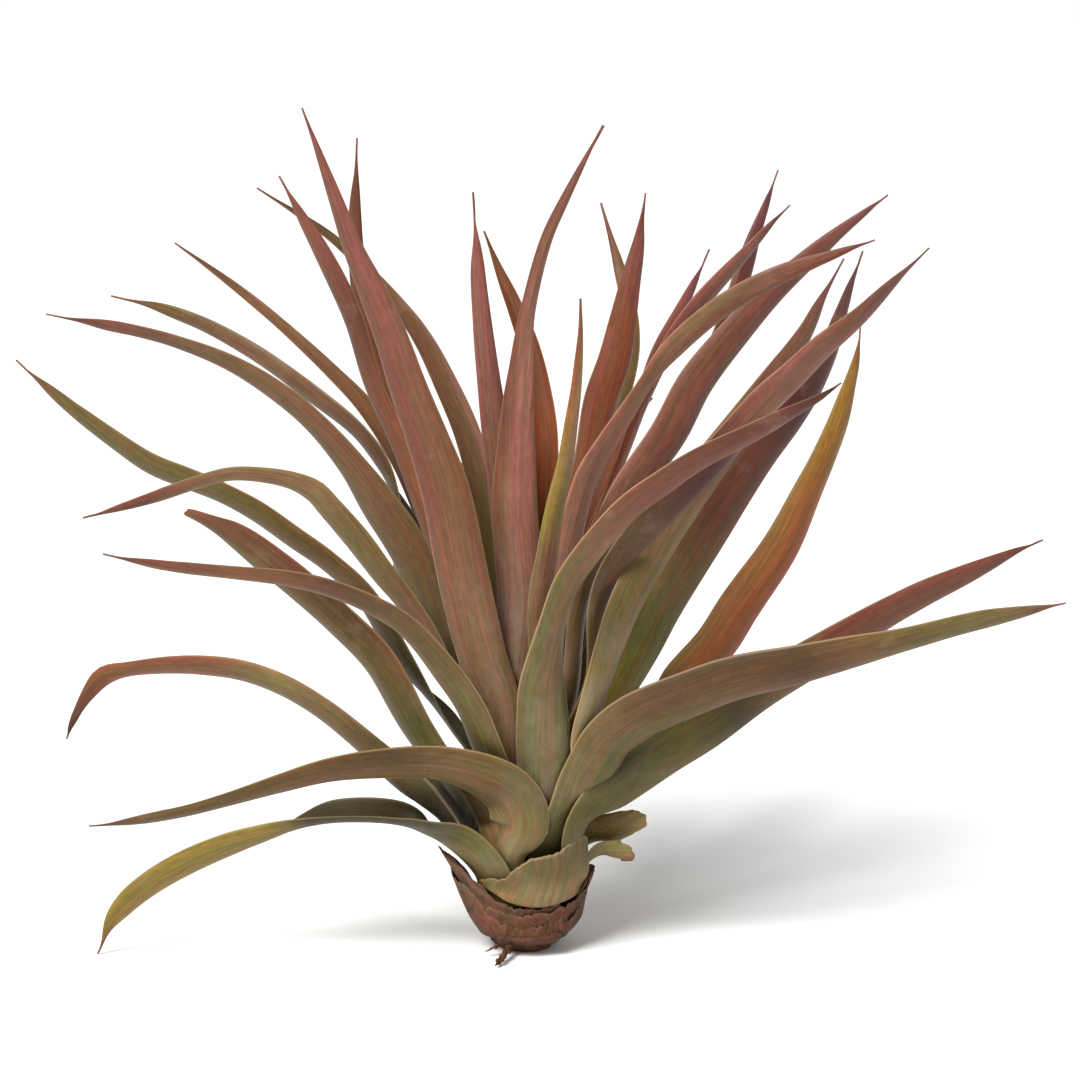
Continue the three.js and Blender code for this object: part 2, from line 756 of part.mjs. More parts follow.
// A smooth curve through the stations, with width, curl and turn read along it. The channel of a
// leaf that faces the axis does so all along, not only at its stations.
function spineOf(stations) {
  const curve = new THREE.CatmullRomCurve3(
    stations.map((s) => s.point),
    false,
    "centripetal",
  );
  const last = stations.length - 1;
  let before = null;
  for (const [i, station] of stations.entries()) {
    const way = curve.getTangent(i / last);
    let turn = station.turn ?? naturalTurn(station.point, way);
    if (before !== null) {
      while (turn - before > 180) turn -= 360;
      while (turn - before < -180) turn += 360;
    }
    station.turned = turn;
    before = turn;
  }
  const read = (name, share) => {
    const at = Math.min(last - 1, Math.floor(share * last));
    const t = share * last - at;
    const get = (i) => stations[Math.min(last, Math.max(0, i))][name];
    const [a, b, c, d] = [get(at - 1), get(at), get(at + 1), get(at + 2)];
    const rise = (c - a) / 2;
    const fall = (d - b) / 2;
    const t2 = t * t;
    const t3 = t2 * t;
    return (
      (2 * t3 - 3 * t2 + 1) * b + (t3 - 2 * t2 + t) * rise + (3 * t2 - 2 * t3) * c + (t3 - t2) * fall
    );
  };
  return (share) => {
    const point = curve.getPoint(share);
    const way = curve.getTangent(share);
    const turn = stations[0].facesAxis ? naturalTurn(point, way) : read("turned", share);
    return {
      point,
      way,
      width: Math.max(TIP_WIDTH, read("width", share)),
      curl: read("curl", share),
      turn: turn * DEGREE,
    };
  };
}

// The shares of the curve's parameter that cut it into stretches of equal length.
function evenShares(read, count) {
  const fine = 200;
  const lengths = [0];
  let before = read(0).point;
  for (let i = 1; i <= fine; i += 1) {
    const point = read(i / fine).point;
    lengths.push(lengths[i - 1] + point.distanceTo(before));
    before = point;
  }
  const total = lengths[fine];
  return Array.from({ length: count + 1 }, (_, k) => {
    const want = (total * k) / count;
    let i = 1;
    while (i < fine && lengths[i] < want) i += 1;
    const t = (want - lengths[i - 1]) / (lengths[i] - lengths[i - 1]);
    return Math.min(1, (i - 1 + t) / fine);
  });
}

// A blade's ring of points: its channelled upper face, then its lower face back again. `room` is
// added all round.
function ringAt(read, share, room) {
  const { point, way, width, curl, turn } = read(share);
  const { picture, away } = acrossWay(way);
  const side = picture.clone().multiplyScalar(Math.cos(turn));
  side.addScaledVector(away, Math.sin(turn));
  const inner = new THREE.Vector3().crossVectors(way, side).normalize();
  const thinned = Math.min(1, share / SHEATH_SHARE);
  const thick = THREE.MathUtils.lerp(SHEATH_THICKNESS, BLADE_THICKNESS, thinned);
  const bend = width / 2 / curl;
  const wider = curl + room / bend;
  const place = (t, offset) =>
    point
      .clone()
      .addScaledVector(side, (bend - offset) * Math.sin(wider * t))
      .addScaledVector(inner, bend - (bend - offset) * Math.cos(wider * t));
  return [
    ...SECTION_POINTS.map((t) => place(t, thick / 2 + room)),
    ...SECTION_POINTS.toReversed().map((t) => place(t, -thick / 2 - room)),
  ];
}

// A closed solid from rings of equal length, its ends capped as strips across the ring.
function loftSolid(rings) {
  const size = rings[0].length;
  const positions = rings.flat().flatMap((p) => [p.x, p.y, Math.max(0, p.z)]);
  const faces = [];
  for (let r = 0; r + 1 < rings.length; r += 1) {
    for (let i = 0; i < size; i += 1) {
      const j = (i + 1) % size;
      const [a, b, c, d] = [r * size + i, r * size + j, (r + 1) * size + j, (r + 1) * size + i];
      faces.push(a, b, c, a, c, d);
    }
  }
  const end = (rings.length - 1) * size;
  for (let i = 0; i < size / 2 - 1; i += 1) {
    const [a, b, c, d] = [i, i + 1, size - 2 - i, size - 1 - i];
    faces.push(a, c, b, a, d, c);
    faces.push(end + a, end + b, end + c, end + a, end + c, end + d);
  }
  return toSolid(new Float32Array(positions), new Uint32Array(faces));
}

function toSolid(vertProperties, triVerts) {
  const solid = new solids.Manifold(new solids.Mesh({ numProp: 3, vertProperties, triVerts }));
  if (solid.volume() > 0) return solid;
  const turned = Uint32Array.from(triVerts);
  for (let i = 0; i < turned.length; i += 3) {
    [turned[i + 1], turned[i + 2]] = [turned[i + 2], turned[i + 1]];
  }
  return new solids.Manifold(new solids.Mesh({ numProp: 3, vertProperties, triVerts: turned }));
}

// A leaf as it grows and, for its neighbours to keep out of, the same with the clearance round it.
function leafForms(stations, steps) {
  const read = spineOf(stations);
  const shares = evenShares(read, steps);
  const form = (room) => loftSolid(shares.map((share) => ringAt(read, share, room)));
  return { grown: form(0), kept: form(CLEARANCE) };
}

function farStations({ root, reach, way, sweep, tip, crest, width }) {
  const [azimuth, height, rootWidth] = root;
  const radius = stemRadius(height) + CLEARANCE + SHEATH_THICKNESS / 2;
  const stations = [
    {
      point: around(azimuth, radius, height),
      width: rootWidth,
      curl: rootWidth / 2 / radius,
      facesAxis: true,
    },
    {
      point: around(azimuth, radius + SHEATH_SPREAD, height + SHEATH_RISE),
      width: rootWidth,
      curl: rootWidth / 2 / (radius + SHEATH_SPREAD),
    },
  ];
  const arch = new THREE.CubicBezierCurve3(
    around(azimuth, radius + SHEATH_SPREAD, height + SHEATH_RISE),
    around((azimuth + way) / 2, reach * FAR_RISE.reach, crest * FAR_RISE.crest),
    around(way + sweep, reach * FAR_FALL.reach, crest * FAR_FALL.crest),
    around(way, reach, Math.max(tip, TIP_HEIGHT)),
  );
  for (let i = 1; i <= FAR_STOPS; i += 1) {
    const t = i / FAR_STOPS;
    const swell = Math.min(1, t / FAR_SWELL);
    const taper = 1 - t ** FAR_TAPER;
    const full = THREE.MathUtils.lerp(rootWidth, width, swell);
    stations.push({
      point: arch.getPoint(t),
      width: i === FAR_STOPS ? TIP_WIDTH : full * taper + TIP_WIDTH,
      curl: BLADE_CURL,
    });
  }
  return stations;
}

// Outer leaves keep their form: where a leaf further in presses against them, it gives way.
function givingWay(form, keptBefore) {
  return keptBefore.reduce((solid, kept) => {
    const left = solid.subtract(kept).decompose();
    return left.reduce((most, body) => (body.volume() > most.volume() ? body : most));
  }, form);
}

// A clasping sheath's shell, lofted from its rows, with `room` added all round.
function claspSolid(rows, thickness, room) {
  const last = rows.length - 1;
  const curves = [1, 2, 3].map(
    (column) => new THREE.CatmullRomCurve3(rows.map((row) => around(row[0], ...row[column]))),
  );
  const span = rows[last][0] - rows[0][0];
  const count = Math.round(span / CLASP_STEP);
  const half = thickness / 2 + room;
  const rings = [];
  for (let k = 0; k <= count; k += 1) {
    const share = k / count;
    const azimuth = rows[0][0] + span * share;
    const at = Math.max(1, rows.findIndex((row) => row[0] >= azimuth));
    const part = (azimuth - rows[at - 1][0]) / (rows[at][0] - rows[at - 1][0]);
    const profile = new THREE.CatmullRomCurve3(curves.map((curve) => curve.getPoint((at - 1 + part) / last)));
    const round = around(azimuth + 90, 1, 0);
    const sideways = room * (Number(k === count) - Number(k === 0));
    const stops = Array.from({ length: CLASP_STOPS }, (_, i) => {
      const point = profile.getPoint(i / (CLASP_STOPS - 1));
      const rise = profile.getTangent(i / (CLASP_STOPS - 1));
      const out = new THREE.Vector3().crossVectors(round, rise).normalize();
      const upwards = room * (Number(i === CLASP_STOPS - 1) - Number(i === 0));
      point.addScaledVector(rise, upwards).addScaledVector(round, sideways);
      return { point, out };
    });
    rings.push([
      ...stops.map(({ point, out }) => point.clone().addScaledVector(out, half)),
      ...stops.toReversed().map(({ point, out }) => point.clone().addScaledVector(out, -half)),
    ]);
  }
  return loftSolid(rings);
}

function rootSolid({ points, thick, thin }) {
  const curve = new THREE.CatmullRomCurve3(points.map((p) => new THREE.Vector3(...p)));
  const steps = 6;
  const rings = [];
  for (let k = 0; k <= steps; k += 1) {
    const point = curve.getPoint(k / steps);
    const { picture, away } = acrossWay(curve.getTangent(k / steps));
    const radius = THREE.MathUtils.lerp(thick, thin, k / steps);
    rings.push(
      Array.from({ length: ROOT_SIDES }, (_, i) => {
        const angle = (2 * Math.PI * i) / ROOT_SIDES;
        return point
          .clone()
          .addScaledVector(picture, radius * Math.cos(angle))
          .addScaledVector(away, radius * Math.sin(angle));
      }),
    );
  }
  return loftSolid(rings);
}

// Points of a three.js geometry this close are one.
const MERGE_WITHIN = 1e-4;

// A geometry from three.js as a solid.
function solidFrom(geometry) {
  const bare = geometry.index ? geometry.toNonIndexed() : geometry.clone();
  bare.deleteAttribute("normal");
  bare.deleteAttribute("uv");
  const merged = mergeVertices(bare, MERGE_WITHIN);
  return toSolid(merged.getAttribute("position").array, new Uint32Array(merged.index.array));
}

function stemSolid() {
  const profile = [[0, 0], ...STEM_PROFILE, [0, STEM_TOP]];
  const lathe = new THREE.LatheGeometry(
    profile.map(([r, z]) => new THREE.Vector2(r, z)),
    STEM_SIDES,
  );
  lathe.rotateX(Math.PI / 2);
  return ROOTS.reduce((stem, root) => stem.add(rootSolid(root)), solidFrom(lathe));
}

function meshOf(name, solid, material) {
  const { numProp, vertProperties, triVerts } = solid.getMesh();
  if (numProp !== 3) throw new Error(name + " carries more than positions");
  const geometry = new THREE.BufferGeometry();
  geometry.setAttribute("position", new THREE.BufferAttribute(Float32Array.from(vertProperties), 3));
  geometry.setIndex(new THREE.BufferAttribute(Uint32Array.from(triVerts), 1));
  geometry.computeVertexNormals();
  const mesh = new THREE.Mesh(geometry, material);
  mesh.name = name;
  return mesh;
}

const finish = (color, roughness) => new THREE.MeshStandardMaterial({ color, roughness, metalness: 0 });
const woody = finish(0x6e4128, 0.9);
const papery = finish(0x8a5636, 0.85);
const redLeaf = finish(0x96604c, 0.6);
const oliveLeaf = finish(0x7c7246, 0.6);

const plant = new THREE.Group();
plant.add(meshOf("rootstock", stemSolid(), woody));
for (const [name, rows] of Object.entries(CLASPING_SHEATHS)) {
  plant.add(meshOf(name, claspSolid(rows, DRY_THICKNESS, 0), papery));
}
plant.add(meshOf("cup_sheath", claspSolid(CUP_SHEATH, CUP_THICKNESS, 0), oliveLeaf));

const leaves = [
  ...Object.entries(LEAVES).map(([name, leaf]) => ({ name, root: leaf.root, stations: stationsOf(leaf) })),
  ...Object.entries(CUT_STUBS).map(([name, stub]) => ({
    name,
    root: stub.root,
    stations: stationsOf(stub),
    steps: STEPS_PER_STUB,
  })),
  ...Object.entries(FAR_LEAVES).map(([name, leaf]) => ({ name, root: leaf.root, stations: farStations(leaf) })),
];
leaves.sort((one, other) => one.root[1] - other.root[1]);
const kept = [claspSolid(CUP_SHEATH, CUP_THICKNESS, CLEARANCE)];
for (const { name, stations, steps = STEPS_PER_LEAF } of leaves) {
  const forms = leafForms(stations, steps);
  plant.add(meshOf(name, givingWay(forms.grown, kept), name.includes("upper") ? redLeaf : oliveLeaf));
  kept.push(forms.kept);
}

export default plant;
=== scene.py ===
"""The looks of a brachycaulos air plant: a bare-rooted rosette of long channelled leaves.

Sizes are in millimetres and are turned to metres where a mesh is made. The origin is the middle of
the flat spot under the stem. +X is to the right of the viewer, +Y is away from the viewer and +Z
is up. Each leaf follows the same line as its solid and is rebuilt finer, with its own skin.
"""

import logging
import math
from dataclasses import dataclass, field
from enum import Enum
from typing import Any, Iterable, Sequence

import bmesh
import bpy
import numpy as np
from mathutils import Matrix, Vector, noise

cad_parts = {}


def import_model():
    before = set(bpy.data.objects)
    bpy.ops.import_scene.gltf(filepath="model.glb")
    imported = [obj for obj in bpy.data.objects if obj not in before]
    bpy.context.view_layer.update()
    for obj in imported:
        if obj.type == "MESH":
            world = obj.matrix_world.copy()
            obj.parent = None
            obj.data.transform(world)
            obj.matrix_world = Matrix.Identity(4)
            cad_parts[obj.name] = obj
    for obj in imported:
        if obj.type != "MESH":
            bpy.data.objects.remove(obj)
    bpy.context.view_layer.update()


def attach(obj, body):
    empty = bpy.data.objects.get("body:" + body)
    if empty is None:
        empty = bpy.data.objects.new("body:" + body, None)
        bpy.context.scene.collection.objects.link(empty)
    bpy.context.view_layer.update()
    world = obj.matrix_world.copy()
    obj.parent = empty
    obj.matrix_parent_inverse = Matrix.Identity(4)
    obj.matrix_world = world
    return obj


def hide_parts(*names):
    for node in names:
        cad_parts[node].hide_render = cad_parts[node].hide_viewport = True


log = logging.getLogger("air_plant")

MM = 0.001
BODY = "root"
BRIGHTNESS = (0.68, 0.58, 0.47)
Feed = Any
Row = tuple[float, ...]
Point = Sequence[float]
Rgba = tuple[float, float, float, float]
Skin = tuple[tuple[Any, ...], ...]
Socket = bpy.types.NodeSocket


class Tone(Enum):
    """The colours that the plant's skin passes through, as red, green and blue out of 255."""

    UMBER = (56, 40, 16)
    GARNET = (76, 36, 24)
    PINE = (64, 55, 14)
    SEPIA = (88, 64, 34)
    LEAF = (96, 90, 22)
    MOSS = (110, 108, 40)
    OLIVE = (108, 97, 50)
    KHAKI = (122, 110, 66)
    SAGE = (114, 108, 66)
    SAND = (148, 132, 90)
    CLAY = (142, 120, 90)
    TAUPE = (140, 118, 82)
    FAWN = (121, 94, 70)
    COCOA = (114, 87, 52)
    LIME = (156, 150, 66)
    OCHRE = (152, 134, 64)
    HONEY = (184, 138, 82)
    AMBER = (164, 122, 54)
    RUSSET = (140, 94, 64)
    CORAL = (144, 99, 78)
    FLAME = (174, 96, 62)
    BRICK = (146, 86, 54)
    RUST = (130, 78, 50)
    CHESTNUT = (118, 72, 54)
    PLUM = (125, 78, 68)
    MAROON = (98, 54, 39)
    MAUVE = (142, 92, 90)
    VIOLET = (120, 78, 90)
    ROSE = (156, 114, 103)
    BLUSH = (176, 130, 121)
    BARK = (84, 52, 36)
    STRAW = (172, 142, 102)
    CINNAMON = (94, 62, 42)

    def albedo(self, gain: float | Point = 1.0) -> np.ndarray:
        """The tone as linear red, green and blue, times the gain, one for all or one for each."""
        share = np.array(self.value) / 255
        linear = np.where(share <= 0.04045, share / 12.92, ((share + 0.055) / 1.055) ** 2.4)
        return np.minimum(linear * np.array(gain), 1)


@dataclass(frozen=True)
class Viewpoint:
    """The place that the photograph was taken from and that the leaves are measured from."""

    tilt: float = math.radians(12)
    distance: float = 1200
    centre: tuple[float, float] = (3, 81)
    lens: float = 200
    sensor: float = 36

    @property
    def sight(self) -> np.ndarray:
        """The direction that the viewer looks in."""
        return np.array((0, math.cos(self.tilt), -math.sin(self.tilt)))

    def seen(self, across: float, up: float, back: float) -> np.ndarray:
        """Finds the point that is seen at a place and lies behind the plant's axis.

        Args:
            across: How far to the viewer's right it is seen.
            up: How far up it is seen.
            back: How far behind the axis it lies.

        Returns:
            The point in millimetres.
        """
        sin, cos = math.sin(self.tilt), math.cos(self.tilt)
        away = (back - up * sin) / (cos + (up - self.centre[1]) * sin / self.distance)
        scale = (self.distance + away) / self.distance
        right = self.centre[0] + (across - self.centre[0]) * scale
        height = self.centre[1] + (up - self.centre[1]) * scale
        return np.array((right, height * sin + away * cos, height * cos - away * sin))

    def camera(self) -> None:
        """Makes the camera, aimed at the middle of the photograph's frame."""
        target = np.array((0, math.sin(self.tilt), math.cos(self.tilt))) * self.centre[1]
        target[0] = self.centre[0]
        place = target - self.sight * self.distance
        data = bpy.data.cameras.new("photo_camera")
        data.lens = self.lens
        data.sensor_width = self.sensor
        data.clip_end = 20
        data.dof.use_dof = False
        camera = bpy.data.objects.new("photo_camera", data)
        camera.location = Vector(place * MM)
        camera.rotation_euler = Vector(self.sight).to_track_quat("-Z", "Y").to_euler()
        bpy.context.scene.collection.objects.link(camera)
        bpy.context.scene.camera = camera


VIEW = Viewpoint()


def unit(vector: np.ndarray) -> np.ndarray:
    """The vector at a length of one."""
    return vector / max(np.linalg.norm(vector), 1e-9)


def around(azimuth: float, radius: float, height: float) -> np.ndarray:
    """The point at an azimuth in degrees, a radius and a height."""
    angle = math.radians(azimuth)
    return np.array((math.cos(angle) * radius, math.sin(angle) * radius, height))


def across_way(way: np.ndarray) -> tuple[np.ndarray, np.ndarray]:
    """The two directions across a way: one in the viewer's picture, one away from the viewer."""
    picture = unit(np.cross(VIEW.sight, way))
    return picture, unit(np.cross(way, picture))


def smooth(low: float, high: float, value: float) -> float:
    """A soft step from 0 to 1 between two values."""
    t = min(1.0, max(0.0, (value - low) / (high - low)))
    return t * t * (3 - 2 * t)


class SmoothLine:
    """A centripetal Catmull-Rom line through points, the same line as the solids follow."""

    def __init__(self, points: Sequence[Point]) -> None:
        """Keeps the points that the line passes through."""
        self.points = [np.array(p, float) for p in points]

    def point(self, share: float) -> np.ndarray:
        """The point at a share of the line's parameter."""
        points, last = self.points, len(self.points) - 1
        at = min(last - 1, int(share * last))
        t = share * last - at
        b, c = points[at], points[at + 1]
        a = points[at - 1] if at > 0 else 2 * b - c
        d = points[at + 2] if at + 2 <= last else 2 * c - b
        u, v, w = (max(np.linalg.norm(q - p), 1e-8) ** 0.5 for p, q in ((a, b), (b, c), (c, d)))
        start = ((b - a) / u - (c - a) / (u + v) + (c - b) / v) * v
        end = ((c - b) / v - (d - b) / (v + w) + (d - c) / w) * v
        cubic = 2 * b - 2 * c + start + end
        square = 3 * c - 3 * b - 2 * start - end
        return b + t * (start + t * (square + t * cubic))

    def way(self, share: float) -> np.ndarray:
        """The direction of the line at a share of its parameter."""
        low, high = max(0.0, share - 1e-4), min(1.0, share + 1e-4)
        return unit(self.point(high) - self.point(low))

    def even_shares(self, count: int, fine: int = 200) -> np.ndarray:
        """The shares of the parameter that cut the line into stretches of equal length.

        Args:
            count: How many stretches.
            fine: How finely the line is measured.

        Returns:
            The shares, one more than the stretches.
        """
        steps = np.linspace(0, 1, fine + 1)
        dots = np.array([self.point(s) for s in steps])
        lengths = np.concatenate(([0], np.cumsum(np.linalg.norm(np.diff(dots, axis=0), axis=1))))
        return np.interp(np.linspace(0, lengths[-1], count + 1), lengths, steps)


class Wiring:
    """Builds a node tree, shader or geometry, from left to right."""

    def __init__(self, tree: bpy.types.NodeTree) -> None:
        """Starts on an empty tree."""
        self.tree = tree
        tree.nodes.clear()

    def feed(self, socket: Socket, value: Feed) -> None:
        """Links a socket to another, or sets it to a plain value."""
        if isinstance(value, Socket):
            self.tree.links.new(value, socket)
        elif value is not None:
            socket.default_value = value

    def node(
        self, kind: str, inputs: dict[str | int, Feed] | None = None, **settings: Any
    ) -> bpy.types.Node:
        """Adds a node.

        Args:
            kind: Blender's name for the node's type.
            inputs: Its inputs by name or place, each a socket or a plain value.
            **settings: Its other properties.

        Returns:
            The node.
        """
        node = self.tree.nodes.new(kind)
        for name, value in settings.items():
            setattr(node, name, value)
        for key, value in (inputs or {}).items():
            self.feed(node.inputs[key], value)
        return node

    def math(self, operation: str, *values: Feed) -> Socket:
        """Adds a calculation on numbers and returns its result."""
        return self.node("ShaderNodeMath", dict(enumerate(values)), operation=operation).outputs[0]

    def times(self, one: Feed, other: Feed) -> Socket:
        """Adds a product of two numbers and returns it."""
        return self.math("MULTIPLY", one, other)

    def plus(self, one: Feed, other: Feed) -> Socket:
        """Adds a sum of two numbers and returns it."""
        return self.math("ADD", one, other)

    def minus(self, one: Feed, other: Feed) -> Socket:
        """Adds a difference of two numbers and returns it."""
        return self.math("SUBTRACT", one, other)

    def vector(self, operation: str, *values: Feed) -> Socket:
        """Adds a calculation on vectors and returns its vector."""
        node = self.node("ShaderNodeVectorMath", dict(enumerate(values)), operation=operation)
        return node.outputs["Vector"]

    def scaled(self, vector: Feed, scale: Feed) -> Socket:
        """Adds a vector times a number and returns it."""
        node = self.node("ShaderNodeVectorMath", {0: vector, "Scale": scale}, operation="SCALE")
        return node.outputs["Vector"]

    def step(
        self, value: Feed, low: float, high: float, start: Feed = 0.0, end: Feed = 1.0
    ) -> Socket:
        """Adds a soft step from start to end between two values and returns it."""
        inputs = {"Value": value, "From Min": low, "From Max": high, "To Min": start, "To Max": end}
        return self.node("ShaderNodeMapRange", inputs, interpolation_type="SMOOTHSTEP").outputs[0]

    def mix(self, share: Feed, one: Feed, other: Feed) -> Socket:
        """Adds a mix of two colours and returns it."""
        return self.node("ShaderNodeMix", {0: share, 6: one, 7: other}, data_type="RGBA").outputs[2]

    def noise(
        self, vector: Feed, scale: float, detail: float = 2, roughness: float = 0.5
    ) -> Socket:
        """Adds a noise pattern and returns its value."""
        inputs = {"Vector": vector, "Scale": scale, "Detail": detail, "Roughness": roughness}
        return self.node("ShaderNodeTexNoise", inputs).outputs[0]

    def stretched(self, vector: Feed, stretch: Point, detail: float, roughness: float) -> Socket:
        """Adds a noise pattern that is stretched along the axes and returns its value."""
        return self.noise(self.vector("MULTIPLY", vector, stretch), 1, detail, roughness)

    def attribute(self, name: str, output: str = "Fac") -> Socket:
        """Adds a reading of the piece's own attribute and returns it."""
        return self.node("ShaderNodeAttribute", attribute_name=name).outputs[output]


def rgba(tone: Tone, gain: float = 1.0) -> Rgba:
    """A tone as a socket's colour."""
    return (*tone.albedo(gain), 1.0)


def new_material(name: str) -> tuple[bpy.types.Material, Wiring, Socket]:
    """Starts a material and returns it, its wiring and the reading of the place on the piece."""
    material = bpy.data.materials.new(name)
    material.use_nodes = True
    wire = Wiring(material.node_tree)
    return material, wire, wire.node("ShaderNodeTexCoord").outputs["Object"]


@dataclass(frozen=True)
class Gloss:
    """How a surface takes the light: values that are the same all over it."""

    roughness: float = 0.5
    sheen: float = 0.03
    sheen_roughness: float = 0.45
    specular: float = 0.28


@dataclass(frozen=True)
class LeafFinish:
    """A leaf's skin: its own tones under fine veins, blotches, a pale margin that is partly painted
    highlight and grey scales, with painted shade in the channel and at the root.
    """

    name: str
    slot: str
    blotch: Tone
    warm: Point = (1.14, 0.93, 0.95)
    cool: Point = (0.9, 1.05, 0.86)
    # Tint of the channel's inner face: partly its greener colour, partly painted shade inside the
    # channel.
    inner: Point = (0.76, 0.8, 0.58)
    # Margin tone: partly the edge's own tan, partly painted highlight.
    margin: Tone = Tone.STRAW
    scale_tone: Rgba = (0.26, 0.25, 0.2, 1)
    veins: Point = (2.6, 0.055, 1)
    bands: Point = (0.55, 0.02, 1)
    mottles: Point = (1.1, 0.35, 1)
    clouds: float = 95
    scales: float = 2900
    relief: float = 0.00022
    gloss: Gloss = Gloss()

    def material(self) -> bpy.types.Material:
        """Builds the material."""
        material, wire, place = new_material(self.name)
        grain = wire.attribute("grain", "Vector")
        across = wire.math("ABSOLUTE", wire.attribute("across"))
        along = wire.attribute("along")
        face = wire.attribute("face")
        scurf = wire.attribute("scurf")
        tone = wire.attribute("tone", "Color")

        fine = wire.stretched(grain, self.veins, 2, 0.6)
        broad = wire.stretched(grain, self.bands, 2, 0.5)
        cloud = wire.noise(place, self.clouds, 4, 0.6)
        mottle = wire.stretched(grain, self.mottles, 3, 0.65)

        cool, warm = (wire.vector("MULTIPLY", tone, tint) for tint in (self.cool, self.warm))
        tone = wire.mix(wire.step(broad, 0.36, 0.64), cool, warm)
        tone = wire.mix(wire.step(cloud, 0.56, 0.74, 0, 0.22), tone, rgba(self.blotch))
        veined = wire.step(fine, 0.3, 0.7, 0.8, 1.16)
        tone = wire.scaled(tone, wire.times(veined, wire.step(mottle, 0.3, 0.7, 0.86, 1.1)))
        # The inner face is tinted greener as its own colour, and darkened as painted shade inside
        # the channel.
        channel_tint_and_shade = wire.step(face, 0.05, 0.3)
        tone = wire.mix(channel_tint_and_shade, tone, wire.vector("MULTIPLY", tone, self.inner))

        bloom = wire.times(scurf, wire.step(cloud, 0.35, 0.65, 0.0, 0.42))
        tone = wire.mix(bloom, tone, self.scale_tone)
        cells = wire.node("ShaderNodeTexVoronoi", {"Vector": place, "Scale": self.scales})
        speck = wire.step(cells.outputs["Distance"], 0.34, 0.16)
        chance = wire.node("ShaderNodeSeparateColor", {0: cells.outputs["Color"]}).outputs[0]
        shown = wire.math("LESS_THAN", chance, wire.math("MULTIPLY_ADD", scurf, 0.6, 0.02))
        speck = wire.times(speck, shown)
        tone = wire.mix(wire.times(speck, 0.3), tone, self.scale_tone)

        # The pale margin: partly the edge's own tan, partly painted highlight where the edge
        # catches the light.
        edge = wire.times(wire.step(across, 0.9, 0.985), wire.attribute("margin"))
        tone = wire.mix(edge, tone, rgba(self.margin))
        dry = wire.step(wire.plus(along, wire.times(mottle, 0.02)), 0.994, 1.006)
        tone = wire.mix(wire.times(dry, wire.attribute("dry")), tone, rgba(Tone.CHESTNUT))
        # Painted shade: the tone darkens towards each leaf's root, where the leaves shade each
        # other.
        tone = wire.scaled(tone, wire.attribute("painted_base_shade"))

        relief = wire.plus(wire.times(fine, 0.7), wire.times(mottle, 0.3))
        relief = wire.math("MULTIPLY_ADD", speck, 0.35, relief)
        bump = {"Strength": 0.55, "Distance": self.relief, "Height": relief}
        rough = wire.math("MULTIPLY_ADD", fine, 0.2, self.gloss.roughness - 0.1)
        dress(wire, tone, rough, bump, self.gloss)
        return material


def dress(
    wire: Wiring, colour: Feed, rough: Feed, bump: dict[str | int, Feed], gloss: Gloss
) -> None:
    """Ends a material in one shader.

    Args:
        wire: The material's wiring.
        colour: Its base colour.
        rough: Its roughness.
        bump: The inputs of its bump.
        gloss: The values that are the same all over.
    """
    inputs = {
        "Base Color": colour,
        "Roughness": rough,
        "Normal": wire.node("ShaderNodeBump", bump).outputs[0],
        "Sheen Weight": gloss.sheen,
        "Sheen Roughness": gloss.sheen_roughness,
        "Specular IOR Level": gloss.specular,
    }
    shader = wire.node("ShaderNodeBsdfPrincipled", inputs)
    wire.node("ShaderNodeOutputMaterial", {"Surface": shader.outputs[0]})


@dataclass(frozen=True)
class PaperFinish:
    """Dry sheath: red-brown paper with fibres along it, pale where its rim is worn thin."""

    name: str = "dry_sheath_paper"
    slot: str = "dry_sheath"
    base: Tone = Tone.CINNAMON
    dark: Tone = Tone.UMBER
    pale: Tone = Tone.FAWN
    fibres: Point = (2.4, 0.3, 1)
    patches: float = 210
    relief: float = 0.0006
    gloss: Gloss = Gloss(roughness=0.8, sheen=0.05, specular=0.2)

    def material(self) -> bpy.types.Material:
        """Builds the material."""
        material, wire, place = new_material(self.name)
        grain = wire.attribute("grain", "Vector")
        rim = wire.attribute("rim")
        fibres = wire.stretched(grain, self.fibres, 4, 0.7)
        patches = wire.noise(place, self.patches, 4, 0.65)
        tone = wire.mix(wire.step(patches, 0.42, 0.62, 0, 0.75), rgba(self.base), rgba(Tone.MAROON))
        tone = wire.mix(wire.step(patches, 0.52, 0.36, 0, 0.8), tone, rgba(self.dark))
        tone = wire.scaled(tone, wire.step(fibres, 0.3, 0.7, 0.6, 1.35))
        worn = wire.times(wire.step(rim, 0.8, 0.98), wire.step(fibres, 0.25, 0.6, 0.4, 1))
        tone = wire.mix(wire.times(worn, 0.5), tone, rgba(self.pale))
        tone = wire.mix(wire.step(rim, 0.25, 0.0, 0, 0.5), tone, rgba(self.dark))
        relief = wire.plus(fibres, wire.times(patches, 0.8))
        bump = {"Strength": 0.8, "Distance": self.relief, "Height": relief}
        rough = wire.math("MULTIPLY_ADD", fibres, 0.15, self.gloss.roughness - 0.08)
        dress(wire, tone, rough, bump, self.gloss)
        return material


